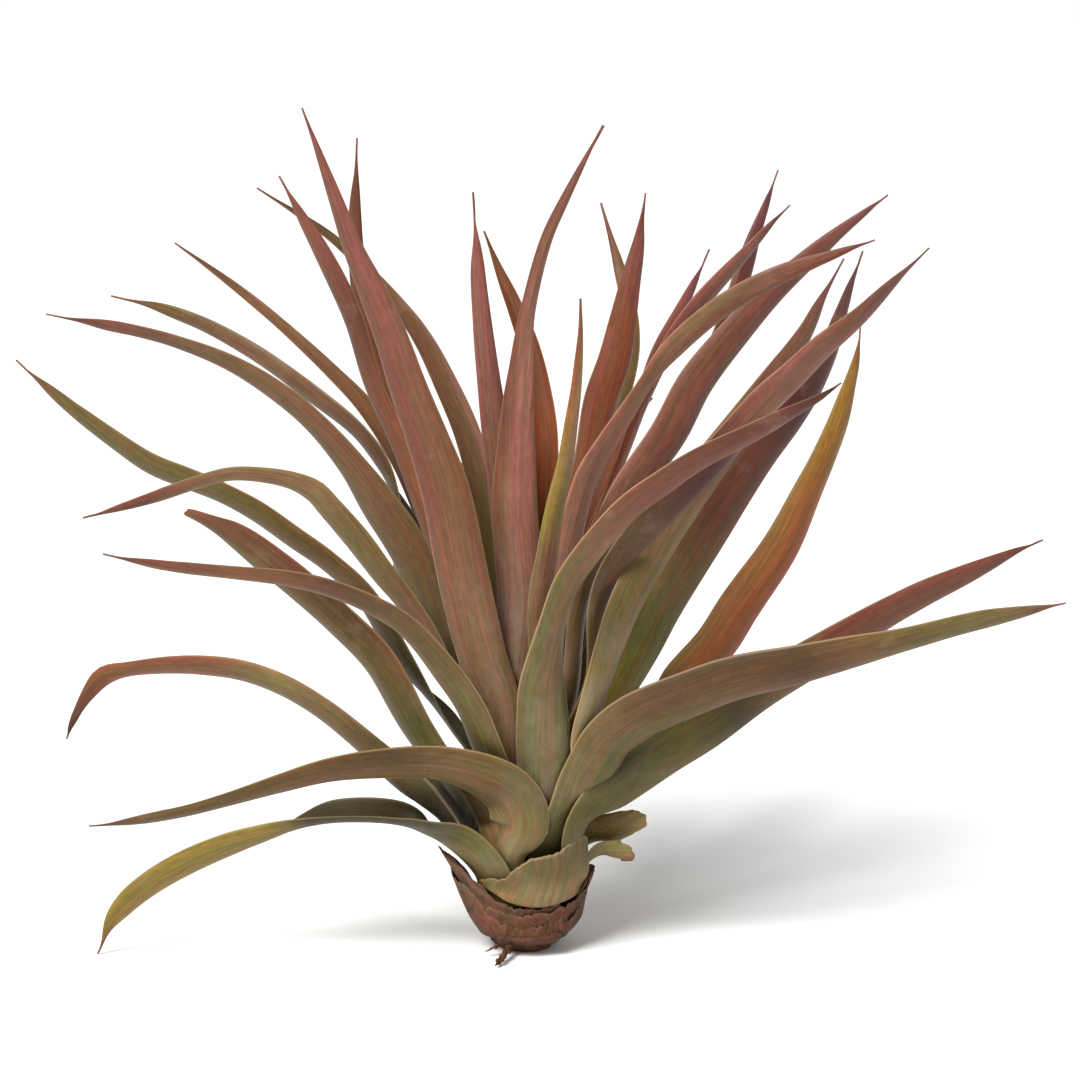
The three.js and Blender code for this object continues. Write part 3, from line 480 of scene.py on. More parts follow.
@dataclass(frozen=True)
class WoodFinish:
    """Rootstock and roots: dark, fibrous and cracked, with the rings that leaves left."""

    name: str = "rootstock_wood"
    slot: str = "stem"
    base: Tone = Tone.BARK
    warm: Tone = Tone.CINNAMON
    flat: Point = (0.35, 0.35, 1.6)
    rings: float = 620
    lumps: float = 260
    relief: float = 0.0007
    gloss: Gloss = Gloss(roughness=0.85, sheen=0.0, specular=0.2)

    def material(self) -> bpy.types.Material:
        """Builds the material."""
        material, wire, place = new_material(self.name)
        rings = wire.noise(wire.vector("MULTIPLY", place, self.flat), self.rings, 4, 0.65)
        lumps = wire.noise(place, self.lumps, 4, 0.6)
        tone = wire.mix(wire.step(lumps, 0.4, 0.65), rgba(self.base), rgba(self.warm))
        tone = wire.mix(wire.step(rings, 0.48, 0.34, 0, 0.8), tone, rgba(Tone.UMBER))
        tone = wire.mix(wire.step(rings, 0.58, 0.72, 0, 0.55), tone, rgba(Tone.STRAW, 0.7))
        relief = wire.plus(rings, wire.times(lumps, 0.7))
        bump = {"Strength": 0.9, "Distance": self.relief, "Height": relief}
        rough = wire.math("MULTIPLY_ADD", rings, 0.15, self.gloss.roughness - 0.08)
        dress(wire, tone, rough, bump, self.gloss)
        return material


RED_SKIN = LeafFinish("red_leaf_skin", "red_leaf", blotch=Tone.ROSE)
GREEN_SKIN = LeafFinish("green_leaf_skin", "green_leaf", blotch=Tone.TAUPE)


@dataclass(frozen=True)
class Root:
    """Where a leaf grows: azimuth and height on the stem, sheath width, how far it stands off."""

    azimuth: float
    height: float
    width: float
    spread: float = 0.9


@dataclass
class Station:
    """One stop of a leaf's middle line."""

    point: np.ndarray
    width: float
    curl: float
    turn: float | None = None


@dataclass(frozen=True)
class LeafPlan:
    """A leaf as it shows in the photograph.

    Rows are across, up, back, width, turn and curl, from the sheath to the tip. Skin stops are a
    share of the length, the tone at the left hand as one travels to the tip, and the right hand's.
    """

    node: str
    root: Root
    rows: tuple[Row, ...]
    skin: Skin
    margin: float = 0.4
    scurf: float = 0.3
    crease: float = 0.0
    wave: float = 0.35
    faces_axis: bool = False
    blunt: bool = False

    def stations(self, stem: "Rootstock") -> list[Station]:
        """The stops of the leaf's middle line, from its root to its tip."""
        stops = stem.root_stations(self.root)
        for i, row in enumerate(self.rows):
            tip = i == len(self.rows) - 1 and not self.blunt
            stops.append(
                Station(
                    point=VIEW.seen(*row[:3]),
                    width=LeafBlade.TIP_WIDTH if tip else row[3],
                    curl=row[5] if len(row) > 5 else LeafBlade.CURL,
                    turn=row[4] if len(row) > 4 else None,
                )
            )
        return stops


@dataclass(frozen=True)
class FarPlan:
    """A leaf on the far side, which the photograph doesn't show: an arch that goes its own way."""

    node: str
    root: Root
    reach: float
    way: float
    sweep: float
    tip: float
    crest: float
    width: float
    skin: Skin
    margin: float = 0.45
    scurf: float = 0.35
    crease: float = 0.0
    wave: float = 0.4
    faces_axis: bool = True
    blunt: bool = False

    RISE = (0.2, 0.9)
    FALL = (0.7, 1.1)
    SWELL = 1 / 3
    TAPER = 1.6
    STOPS = 6
    TIP_HEIGHT = 0.15

    def stations(self, stem: "Rootstock") -> list[Station]:
        """The stops of the leaf's middle line, from its root to its tip."""
        stops = stem.root_stations(self.root)
        halfway = (self.root.azimuth + self.way) / 2
        arch = (
            stops[1].point,
            around(halfway, self.reach * self.RISE[0], self.crest * self.RISE[1]),
            around(self.way + self.sweep, self.reach * self.FALL[0], self.crest * self.FALL[1]),
            around(self.way, self.reach, max(self.tip, self.TIP_HEIGHT)),
        )
        for i in range(1, self.STOPS + 1):
            t = i / self.STOPS
            pull = ((1 - t) ** 3, 3 * t * (1 - t) ** 2, 3 * t * t * (1 - t), t**3)
            full = self.root.width + (self.width - self.root.width) * min(1, t / self.SWELL)
            width = full * (1 - t**self.TAPER) + LeafBlade.TIP_WIDTH
            width = LeafBlade.TIP_WIDTH if i == self.STOPS else width
            point = sum(share * corner for share, corner in zip(pull, arch))
            stops.append(Station(point, width, LeafBlade.CURL))
        return stops


LEAVES = (
    LeafPlan("leaf_left_01", Root(176, 26, 5), rows=(
        (-15, 44, 4, 7), (-25, 56.2, 6, 8, -60), (-32.9, 69.1, 9, 8.4, -58),
        (-40, 75.9, 11, 8.2, -56), (-46.8, 80.7, 12, 8, -55), (-54.3, 86, 13, 7.8, -55),
        (-61, 89.6, 14, 7.6, -55), (-68, 92.4, 15, 7.8, -54), (-75, 95.3, 16, 7.6, -53),
        (-82, 100, 17, 6.4, -52), (-90, 106.1, 18, 5, -50), (-96, 111.5, 19, 3.8, -48),
        (-101.8, 117, 20),
    ), skin=(
        (0, Tone.SAGE), (0.2, Tone.PINE), (0.3, Tone.PINE), (0.42, Tone.COCOA), (0.65, Tone.OLIVE),
        (0.9, Tone.OLIVE), (1, Tone.CHESTNUT),
    )),
    LeafPlan("leaf_left_02", Root(-176, 33, 5), rows=(
        (-17.8, 62, -1, 10, -42), (-24, 78.4, 1, 10.4, -33), (-30.2, 88, 2, 9.8, -33),
        (-35.4, 95.6, 3, 8, -40), (-41.9, 103, 4, 7.2, -48), (-48.4, 108.8, 4.6, 6.8, -50),
        (-58.4, 115.3, 5.6, 6, -54), (-69.7, 120, 7, 4.8, -57), (-77.6, 122.2, 7.4, 4.2, -56),
        (-85.7, 124, 7.7, 3.8, -52), (-95.8, 126.2, 8),
    ), skin=(
        (0, Tone.SAGE), (0.2, Tone.OLIVE), (0.36, Tone.FAWN, Tone.COCOA), (0.55, Tone.FAWN),
        (0.8, Tone.FAWN), (0.9, Tone.PLUM), (1, Tone.CHESTNUT),
    )),
    LeafPlan("leaf_left_03", Root(155, 30, 5), rows=(
        (-14, 62, 5, 8), (-22, 80, 12, 8), (-29, 95.6, 18, 7.2, -70), (-34, 102.3, 21, 6.4, -62),
        (-42.3, 109.1, 25, 6.2, -54), (-51.7, 116.2, 28, 5.2, -47), (-58.3, 120.4, 31, 4.7, -45),
        (-65, 124, 33.5, 4, -43), (-73.7, 127.4, 36, 3.4, -40), (-82.8, 129.8, 38),
    ), skin=(
        (0, Tone.SAGE), (0.3, Tone.OLIVE), (0.42, Tone.PINE), (0.52, Tone.SEPIA), (0.65, Tone.FAWN),
        (0.8, Tone.FAWN), (0.92, Tone.OLIVE), (1, Tone.CHESTNUT),
    )),
    LeafPlan("leaf_left_04", Root(-160, 29, 5), rows=(
        (-19, 59, -8, 7.8, -60), (-24.3, 67.5, -10, 7.8, -55), (-29.4, 74, -12, 8, -48),
        (-34.5, 81, -14, 7.6, -42), (-39.7, 87, -16, 7.2, -44), (-42.6, 90.1, -16.6, 7, -46),
        (-46.2, 91.9, -17.2, 6.5, -54), (-52, 93.2, -18.6, 5.8, -58), (-59, 93.5, -20, 5.2, -60),
        (-66.2, 91.6, -21, 4.9, -62), (-73.4, 89.2, -22, 4.5, -60), (-82, 86.9, -24, 3.4, -60),
        (-88.4, 85.4, -25),
    ), skin=(
        (0, Tone.KHAKI), (0.35, Tone.FAWN), (0.5, Tone.KHAKI), (0.68, Tone.CLAY), (0.78, Tone.CLAY),
        (0.9, Tone.PLUM), (1, Tone.CHESTNUT),
    )),
    LeafPlan("leaf_left_05", Root(128, 34, 4.5), rows=(
        (-8, 62, 13, 7), (-18, 80.6, 22, 7.2), (-25.2, 96.4, 30, 6.6), (-32.3, 107.2, 35, 6),
        (-38.7, 114, 39, 5.2), (-47.5, 122.3, 44, 4.2), (-56, 129.6, 49, 3.3),
        (-64.2, 136.1, 53, 2.6), (-70, 140.4, 55),
    ), skin=(
        (0, Tone.SAGE), (0.4, Tone.COCOA), (0.6, Tone.CORAL), (0.85, Tone.ROSE), (1, Tone.CHESTNUT),
    )),
    LeafPlan("leaf_left_06", Root(-130, 20, 8), margin=0.5, rows=(
        (-6.5, 33, -8.5, 9), (-9.4, 41.4, -13, 9), (-12.2, 47.4, -16, 9.4),
        (-16.4, 53.6, -19, 9.2, -50), (-23.9, 62.4, -25, 8.4, -57), (-31, 67, -30, 7.8, -60),
        (-38.6, 70.2, -34, 7.2, -62), (-47.4, 72.4, -38, 6.8, -62), (-59, 73.8, -42, 5.6, -62),
        (-69.4, 75, -45, 4.6, -60), (-77, 76.4, -46.6, 3.4, -58), (-84.4, 78.2, -48),
    ), skin=(
        (0, Tone.SAGE), (0.25, Tone.SAGE), (0.35, Tone.KHAKI, Tone.OLIVE), (0.52, Tone.COCOA),
        (0.65, Tone.COCOA, Tone.CHESTNUT), (0.8, Tone.RUSSET), (1, Tone.PLUM),
    )),
    LeafPlan("leaf_left_07", Root(176, 16, 8, 2.2), margin=0.5, blunt=True, rows=(
        (-14.8, 31, -2.6, 9.6, -62), (-23, 43.4, -2.2, 10.2, -47), (-30.2, 56.2, -3, 10, -43),
        (-37.6, 64, -3, 9.2, -41), (-45.8, 71.4, -3, 9, -38), (-52.2, 76.6, -3, 8.6, -38),
        (-56.9, 80.3, -2.6, 8, -40), (-60.8, 82.9, -2.2, 7, -44), (-64.8, 85, -2, 4.8, -50),
        (-68.2, 86.5, -2, 3.6, -55),
    ), skin=(
        # The umber stops by the root are painted shade, where the leaf passes under leaf_left_09.
        (0, Tone.SAGE), (0.12, Tone.UMBER), (0.19, Tone.UMBER), (0.27, Tone.MOSS),
        (0.36, Tone.KHAKI, Tone.SAGE), (0.48, Tone.KHAKI, Tone.COCOA),
        (0.57, Tone.KHAKI, Tone.SEPIA), (0.68, Tone.KHAKI, Tone.SEPIA),
        (0.78, Tone.OLIVE, Tone.CHESTNUT), (0.95, Tone.OLIVE, Tone.CHESTNUT),
        (1, Tone.RUSSET, Tone.CORAL),
    )),
    LeafPlan("leaf_left_08", Root(-168, 11.5, 8, 2.2), rows=(
        (-16.4, 24.6, -5.6, 10.6), (-24.4, 31.6, -7.4, 11.4, -58), (-33.8, 40.3, -9, 9.9, -60),
        (-41.4, 46.4, -10, 8.9, -60), (-48.6, 50.7, -11, 8.6, -60), (-56.6, 53.7, -12, 8.3, -60),
        (-64.2, 54.8, -13, 8, -60), (-71, 55, -14, 7.4, -61), (-79.4, 54.3, -15, 6.4, -62),
        (-84, 53.2, -15.4, 5.8, -45), (-86.5, 50.7, -15.8, 4.8, -42), (-88.9, 47.3, -16, 3.6, -40),
        (-90.6, 44, -16, 2.7, -38), (-91.7, 41.2, -16),
    ), skin=(
        # The umber stop by the root is painted shade, where the leaf passes under leaf_left_09.
        (0, Tone.KHAKI), (0.12, Tone.UMBER), (0.22, Tone.PINE), (0.31, Tone.KHAKI),
        (0.5, Tone.CLAY), (0.57, Tone.SAND), (0.68, Tone.CORAL), (0.85, Tone.RUSSET),
        (0.93, Tone.CHESTNUT), (1, Tone.UMBER),
    )),
    LeafPlan("leaf_left_09", Root(-110, 11.5, 7, 1.5), margin=0.55, rows=(
        (-3, 18.8, -11.6, 7.4, -10), (-0.8, 24, -13.8, 12.6, 0), (-3.6, 30, -15, 12, -18),
        (-14.8, 34.6, -16, 11.2, -45), (-26.4, 35.1, -18, 10.2, -48), (-38.6, 34, -22, 8.2, -50),
        (-48.8, 31.5, -26, 6.4, -52), (-59, 28.6, -30, 5, -55), (-69.4, 25.9, -34, 4.4, -58),
        (-79.6, 24.3, -37, 3.4, -60), (-87.2, 23.8, -38),
    ), skin=(
        (0, Tone.SAND), (0.16, Tone.SAND, Tone.KHAKI), (0.24, Tone.SEPIA, Tone.OLIVE),
        (0.34, Tone.KHAKI, Tone.COCOA), (0.45, Tone.KHAKI, Tone.SEPIA), (0.6, Tone.COCOA),
        (0.75, Tone.COCOA), (0.9, Tone.FAWN), (1, Tone.CHESTNUT),
    )),
    LeafPlan("leaf_left_10", Root(-140, 9.5, 15, 2.2), margin=0.3, rows=(
        (-14, 19.8, -8.5, 13.6, -62), (-19.6, 22.2, -9.5, 13.2, -84, 0.85),
        (-25.4, 24.5, -9, 12.8, -104, 0.9), (-37.8, 25, -9, 12.2, -106, 0.9),
        (-44.6, 23.6, -9, 10.8, -92, 0.85), (-51, 21.6, -9, 9.4, -70), (-59, 19, -8.5, 8.9, -55),
        (-66.8, 15.8, -8, 8.8, -50), (-73.6, 12, -7.6, 8.2, -48), (-78.6, 8.2, -7.2, 7.4, -48),
        (-82.4, 4.2, -7, 5.6, -50), (-85.4, -1.7, -6.7),
    ), skin=(
        # The pine stretch from 0.22 to 0.46 is partly painted shade inside the blade's channel.
        (0, Tone.SAND), (0.13, Tone.SAND, Tone.MOSS), (0.22, Tone.PINE), (0.46, Tone.PINE),
        (0.55, Tone.KHAKI, Tone.OCHRE), (0.75, Tone.OCHRE), (0.92, Tone.OCHRE), (1, Tone.COCOA),
    )),
    LeafPlan("leaf_upper_01", Root(-130, 26, 8), margin=0.6, rows=(
        (-6, 49, -11, 10, -15), (-9, 57.4, -13, 11, -15), (-12.6, 72, -16, 11.5, -15),
        (-16.4, 90.6, -21, 10.8, -15), (-20.1, 101.6, -24, 9.2, -15), (-23.9, 111.8, -27, 8.2, -15),
        (-26.8, 120.4, -30, 7.4, -18), (-30.4, 129.6, -32, 6.5, -20), (-34.6, 139, -34, 4.8, -25),
        (-37.4, 147, -36, 3.7, -28), (-41, 157.4, -37, 2.5, -30), (-44.6, 167.4, -38),
    ), skin=(
        (0, Tone.SAND), (0.22, Tone.CLAY), (0.36, Tone.CORAL), (0.48, Tone.PLUM, Tone.RUSSET),
        (0.62, Tone.PLUM, Tone.CORAL), (0.8, Tone.PLUM, Tone.MAUVE), (1, Tone.PLUM),
    )),
    LeafPlan("leaf_upper_02", Root(170, 38, 3.5), rows=(
        (-10, 66, 1, 6), (-17, 81, 2, 6.5), (-22, 99, 4, 6.4, -12), (-26.6, 111, 6, 5.9, -10),
        (-30, 120, 7, 5.2, -10), (-32.7, 129, 8, 4.3, -10), (-33.9, 139, 9, 3.4, -10),
        (-34, 150, 10, 2.5, -10), (-33.6, 161.4, 10),
    ), skin=(
        (0, Tone.OLIVE), (0.45, Tone.CHESTNUT), (0.7, Tone.RUST), (0.85, Tone.CHESTNUT),
        (1, Tone.MAROON),
    )),
    LeafPlan("leaf_upper_03", Root(-155, 37, 3.5), rows=(
        (-10, 60, -5, 6), (-18.4, 79, -7, 6, -60), (-26.2, 101, -8, 5.9, -50),
        (-31, 112, -7, 5.7, -45), (-34.8, 124.6, -6, 5.7, -42), (-38, 132.2, -5, 5.4, -40),
        (-41.3, 138.8, -4, 4.6, -40), (-45.8, 147.4, -3, 3, -42), (-49.2, 153.8, -2),
    ), skin=(
        (0, Tone.OLIVE), (0.38, Tone.RUSSET), (0.5, Tone.MAROON, Tone.RUSSET),
        (0.65, Tone.CHESTNUT), (0.76, Tone.MAROON), (0.88, Tone.PLUM), (1, Tone.PLUM),
    )),
    LeafPlan("leaf_upper_04", Root(115, 41, 3.5), rows=(
        (-4, 66, 8, 6), (-7.5, 81, 13, 7), (-9.8, 94, 17, 7), (-12.4, 102.8, 21, 6.8),
        (-16.2, 111.6, 26, 6.3), (-20.6, 120.4, 31, 5.4), (-25.4, 127.2, 35, 4.6),
        (-37, 139.6, 40, 3.4), (-46.4, 146.6, 43.4, 2.6), (-53.6, 151.4, 45),
    ), skin=(
        (0, Tone.OLIVE), (0.35, Tone.TAUPE), (0.45, Tone.ROSE), (0.6, Tone.CORAL, Tone.ROSE),
        (0.8, Tone.FAWN), (1, Tone.CHESTNUT),
    )),
    LeafPlan("leaf_upper_05", Root(-120, 40, 3.5), rows=(
        (-3, 62, -2, 5), (-4.4, 77, -3, 6.8, -42), (-5.3, 93.4, -2, 7.2, -28),
        (-6.4, 103.2, -1, 6.4, -20), (-7.6, 112.8, 0, 5.4, -20), (-8.9, 125.6, 2, 4.2, -18),
        (-9.7, 137, 4, 3, -18), (-10.4, 150.6, 6),
    ), skin=(
        (0, Tone.OLIVE), (0.45, Tone.CORAL, Tone.RUSSET), (0.65, Tone.MAUVE), (0.85, Tone.MAUVE),
        (1, Tone.PLUM),
    )),
    LeafPlan("leaf_upper_06", Root(-20, 44, 3), rows=(
        (1.5, 66, 1, 5.5, 200), (2.8, 79, 4, 6, 190), (3.8, 101, 9, 6.2, 180),
        (2.7, 111, 12, 5.5, 180), (0.7, 120, 15, 4.6, 180), (-2.1, 127.8, 18, 3.5, 180),
        (-5.4, 135.6, 20.2, 2.3, 180), (-8.2, 142.8, 22),
    ), skin=(
        (0, Tone.MOSS), (0.45, Tone.FLAME), (0.6, Tone.FLAME), (0.75, Tone.BRICK),
        (0.9, Tone.BRICK), (1, Tone.CHESTNUT),
    )),
    LeafPlan("leaf_upper_07", Root(-87, 31, 6), margin=0.5, scurf=0.9, crease=0.3, rows=(
        (-3, 44, -8, 8, -5), (-2.6, 51.8, -9, 9.4, 0), (-1, 69, -9.5, 10, 0),
        (-2.1, 87.8, -10, 10, 0), (-1.8, 99, -10, 8.3, 0), (-1.3, 109.8, -11, 6.4, 0),
        (-0.8, 115.4, -11, 5.2, 0), (0.5, 126, -11, 3.4, 10), (4.2, 140.4, -11, 2.7, 20),
        (7.9, 148.6, -12, 2.4, 30), (11.9, 156.8, -12, 1.9, 30), (15.6, 164, -12),
    ), skin=(
        (0, Tone.CLAY), (0.25, Tone.ROSE, Tone.CLAY), (0.38, Tone.ROSE),
        (0.46, Tone.CORAL, Tone.BLUSH), (0.56, Tone.PLUM, Tone.BLUSH), (0.7, Tone.PLUM, Tone.BLUSH),
        (0.85, Tone.PLUM, Tone.ROSE), (1, Tone.PLUM),
    )),
    LeafPlan("leaf_upper_08", Root(-60, 24, 4), rows=(
        (4.4, 47, -9.5, 5, 20), (3.5, 60, -12.5, 5.7, 20), (3.5, 69, -16, 5.7, 25),
        (4.8, 77.8, -20, 5.2, 28), (6.4, 87.6, -26, 4.5, 28), (8.3, 96.2, -33, 3.8, 28),
        (9.5, 104.8, -41, 3, 20), (10.5, 112.8, -48, 2.3, 20), (11.1, 122, -56, 1.5, 20),
        (11.1, 129.2, -62),
    ), skin=(
        (0, Tone.MOSS), (0.38, Tone.TAUPE, Tone.BLUSH), (0.46, Tone.TAUPE, Tone.BLUSH),
        (0.54, Tone.LIME, Tone.SAND), (0.66, Tone.LIME, Tone.ROSE), (0.76, Tone.AMBER, Tone.ROSE),
        (0.88, Tone.BRICK, Tone.OCHRE), (1, Tone.PLUM),
    )),
    LeafPlan("leaf_upper_09", Root(62, 43, 3), rows=(
        (3, 66, 9, 6), (6, 78, 15, 6.5), (14.8, 99, 24, 6.5), (19.1, 109, 29, 6),
        (21.4, 119, 34, 5), (21.1, 127, 38, 4), (19, 135.4, 42, 2.7), (15.2, 148.4, 48),
    ), skin=(
        (0, Tone.MOSS), (0.4, Tone.OLIVE), (0.65, Tone.COCOA), (0.85, Tone.CORAL), (1, Tone.PLUM),
    )),
    LeafPlan("leaf_upper_10", Root(-20, 37, 4.5), rows=(
        (5.6, 66, -4, 6.5, 60), (8, 79, -5, 7, 50), (13.4, 96.2, -6, 7.7, 30),
        (15.6, 108.8, -6, 7.8, 20), (18.2, 117, -6, 7.3, 15), (19.7, 124.2, -5, 6.2, 15),
        (21.4, 133.2, -5, 4.5, 15), (23, 141.6, -4.6, 3, 15), (24.1, 150.4, -4),
    ), skin=(
        (0, Tone.OLIVE), (0.5, Tone.RUSSET), (0.65, Tone.CHESTNUT, Tone.FLAME),
        (0.78, Tone.RUST, Tone.BRICK), (0.88, Tone.PLUM, Tone.MAUVE), (1, Tone.PLUM),
    )),
    LeafPlan("leaf_upper_11", Root(32, 36, 4), rows=(
        (7, 66, 5, 6), (11, 79, 10, 6.5), (17.4, 95, 16, 6.2), (21, 103, 17, 5.8),
        (25.2, 113, 21, 5.2, 60), (27.6, 119.4, 23, 4.7, 52), (31.4, 126.6, 27, 3.9, 48),
        (34.2, 132.8, 29, 2.8, 45), (36.9, 139.2, 30),
    ), skin=(
        (0, Tone.MOSS), (0.45, Tone.BRICK), (0.7, Tone.MAUVE), (0.9, Tone.MAUVE), (1, Tone.VIOLET),
    )),
    LeafPlan("leaf_upper_12", Root(68, 37, 4), rows=(
        (5, 64, 11, 6), (12, 79, 17, 6), (25, 97, 26, 5.4, 60), (32.4, 109, 32, 5.2, 56),
        (38.4, 119, 38, 5.2, 46), (42.2, 128.2, 42, 5.2, 38), (44.3, 135, 45, 4.7, 32),
        (46.1, 141.6, 47, 3.7, 30), (48.7, 149.4, 49, 2.3, 30), (50.6, 155, 50),
    ), skin=(
        (0, Tone.MOSS), (0.4, Tone.CHESTNUT), (0.55, Tone.MAROON), (0.8, Tone.MAROON),
        (1, Tone.VIOLET),
    )),
    LeafPlan("leaf_upper_13", Root(16, 34, 5), rows=(
        (8.6, 62, -2.5, 6.2), (14, 83, 0, 7), (20, 97, 4, 6.8, 80), (24.5, 109, 8, 6.6, 68),
        (30.2, 120.8, 11, 6, 56), (35.4, 128, 13, 5.4, 46), (44, 137.8, 16, 3.9, 45),
        (49.4, 144.2, 16.8, 2.5, 45), (53, 148, 17),
    ), skin=(
        (0, Tone.OLIVE), (0.4, Tone.FLAME), (0.55, Tone.FLAME), (0.66, Tone.BRICK),
        (0.75, Tone.MAUVE), (0.88, Tone.ROSE), (1, Tone.VIOLET),
    )),
    LeafPlan("leaf_upper_14", Root(-26, 31, 5), rows=(
        (9.6, 50, -7, 6), (12, 69, -9.4, 7), (20.2, 88.8, -9, 8.4, 32), (29.2, 101.8, -7, 9, 26),
        (34.8, 112.4, -5, 8.6, 25), (42.2, 121.8, -2, 7.6, 27), (50, 130.6, 1, 6.4, 28),
        (56.3, 136.4, 2, 5, 30), (62.3, 141.8, 3, 3.8, 30), (68.5, 146.8, 4, 2.5, 30),
        (72.6, 150, 4),
    ), skin=(
        (0, Tone.OLIVE), (0.2, Tone.CLAY), (0.34, Tone.COCOA), (0.44, Tone.ROSE),
        (0.54, Tone.CHESTNUT, Tone.BLUSH), (0.66, Tone.CHESTNUT, Tone.ROSE),
        (0.76, Tone.PLUM, Tone.MAUVE), (0.9, Tone.PLUM), (1, Tone.VIOLET),
    )),
    LeafPlan("leaf_upper_15", Root(-55, 35, 4.5), margin=0.5, rows=(
        (5, 52, -6.5, 5.5), (6, 62, -9, 6.5), (8.8, 77, -12, 7), (13, 93, -16, 7),
        (16.4, 99, -18, 7), (21, 106, -20, 6.6), (25.2, 112.6, -21, 6.2),
        (30.2, 119.1, -22, 5.9, 36), (37.4, 125.6, -23, 5.6, 32), (44, 130.1, -24, 5.2, 30),
        (50.8, 133.6, -25, 4.6, 30), (58, 136.5, -25.5, 3.7, 30), (64, 138.8, -26, 2.7, 30),
        (70, 141, -26),
    ), skin=(
        (0, Tone.SAGE), (0.25, Tone.TAUPE), (0.36, Tone.BLUSH), (0.5, Tone.ROSE, Tone.BLUSH),
        (0.65, Tone.CORAL, Tone.ROSE), (0.78, Tone.FAWN, Tone.CORAL), (0.88, Tone.PLUM, Tone.CORAL),
        (1, Tone.CHESTNUT),
    )),
    LeafPlan("leaf_upper_16", Root(-45, 20.5, 8, 1.3), margin=0.55, scurf=0.8, rows=(
        (12, 36, -9.5, 8), (12.8, 42, -12, 8), (15.1, 50, -14.5, 8.6), (20.6, 67.2, -16, 8.8, 36),
        (27.4, 80.4, -13.5, 9.4, 28), (30.9, 86.4, -12.5, 9.6, 25), (38.6, 96.8, -12, 9, 32),
        (44.6, 104.8, -12, 8.2, 34), (49.4, 111.8, -11, 6.8, 35), (56.1, 121.8, -9.5, 4.6, 35),
        (59.2, 128.4, -9, 3.2, 35), (63.8, 137.3, -8),
    ), skin=(
        (0, Tone.SAND), (0.26, Tone.SAND), (0.35, Tone.OLIVE, Tone.SAND),
        (0.46, Tone.OLIVE, Tone.KHAKI), (0.56, Tone.CHESTNUT, Tone.CLAY), (0.66, Tone.CHESTNUT),
        (0.85, Tone.FAWN), (1, Tone.VIOLET),
    )),
    LeafPlan("leaf_upper_17", Root(-12, 24, 7), rows=(
        (16.8, 44.6, -6, 9, 55), (24, 57.6, -6, 10.2, 42), (28, 66.2, -5, 10.6, 35),
        (36.4, 80.7, -3, 10.8, 30), (41.2, 88.7, -1, 10.8, 30), (47.1, 97.1, 1, 10, 34),
        (53.4, 104.8, 3, 8.8, 38), (57.4, 110.8, 5, 7.8, 40), (61, 118, 6, 6, 42),
        (63.5, 126, 7, 4.3, 40), (65.3, 132, 7.6, 3, 40), (67.6, 138.8, 8),
    ), skin=(
        (0, Tone.MOSS), (0.24, Tone.LIME), (0.35, Tone.MOSS, Tone.KHAKI), (0.46, Tone.COCOA),
        # The garnet stop at 0.76 is painted shadow, cast by leaf_upper_18 and leaf_upper_20 in
        # front.
        (0.55, Tone.MAROON, Tone.CHESTNUT), (0.66, Tone.MAROON), (0.76, Tone.GARNET),
        (0.86, Tone.MAROON), (1, Tone.VIOLET),
    )),
    LeafPlan("leaf_upper_18", Root(-40, 28, 5), margin=0.5, rows=(
        (14, 52, -8, 6.5), (16, 69, -13.5, 7.5), (20.6, 77.8, -19, 8, 42),
        (29.4, 87.6, -24.5, 8.5, 38), (37.8, 96.2, -26, 8.5, 38), (48.2, 107.8, -30, 8.3, 38),
        (54, 113.2, -31, 7.6, 40), (59.9, 119, -33, 6.8, 42), (67.2, 125.3, -34, 4.9, 42),
        (73.8, 132.3, -36, 3.5, 42), (80.8, 139.4, -38),
    ), skin=(
        (0, Tone.SAGE), (0.24, Tone.SAND), (0.34, Tone.SEPIA), (0.47, Tone.SEPIA),
        (0.55, Tone.GARNET), (0.6, Tone.GARNET), (0.67, Tone.PLUM, Tone.CORAL), (0.76, Tone.MAUVE),
        (0.86, Tone.CHESTNUT, Tone.MAUVE), (1, Tone.VIOLET),
    )),
    LeafPlan("leaf_upper_19", Root(5, 18, 7, 1.4), margin=0.2, rows=(
        (17.5, 38, -2, 7), (24, 45, -1, 8.4), (31.4, 51.8, 1, 10.4, 38), (38.7, 59.5, 4, 10.9, 30),
        (43.6, 67.2, 7, 10.6, 27), (51.6, 79, 12, 9.4, 27), (57.3, 90.6, 17, 7.8, 32),
        (60.8, 98.2, 21, 6.8, 36), (63.6, 105.4, 25, 5.8, 38), (65.4, 112, 28, 4.6, 42),
        (66.6, 118, 30, 3, 44), (67.1, 123.8, 32),
    ), skin=(
        (0, Tone.MOSS), (0.28, Tone.OLIVE, Tone.BRICK), (0.36, Tone.HONEY, Tone.FLAME),
        (0.52, Tone.HONEY, Tone.FLAME), (0.66, Tone.HONEY, Tone.FLAME), (0.76, Tone.AMBER),
        (0.92, Tone.AMBER), (1, Tone.CHESTNUT),
    )),
    LeafPlan("leaf_upper_20", Root(-75, 16.5, 10), margin=0.65, scurf=0.5, rows=(
        (3.6, 33, -11.5, 11.5, 0), (3.6, 41, -14, 11.8, 0), (3.7, 46, -15.5, 11.2, 8),
        (4.2, 52.6, -17.5, 10.8, 30), (5.4, 59.2, -19.5, 9.8, 46), (7, 65, -22, 9.4, 56),
        (10.2, 72.8, -28, 9.2, 53), (20.4, 85.6, -38, 8.8, 50), (28.5, 91.9, -44, 8, 50),
        (35.5, 96.5, -49, 7.2, 50), (46, 101.9, -55, 5.8, 48), (53.5, 106.2, -59, 4.7, 46),
        (59.4, 109.6, -61, 3.2, 45), (63.2, 112.4, -62),
    ), skin=(
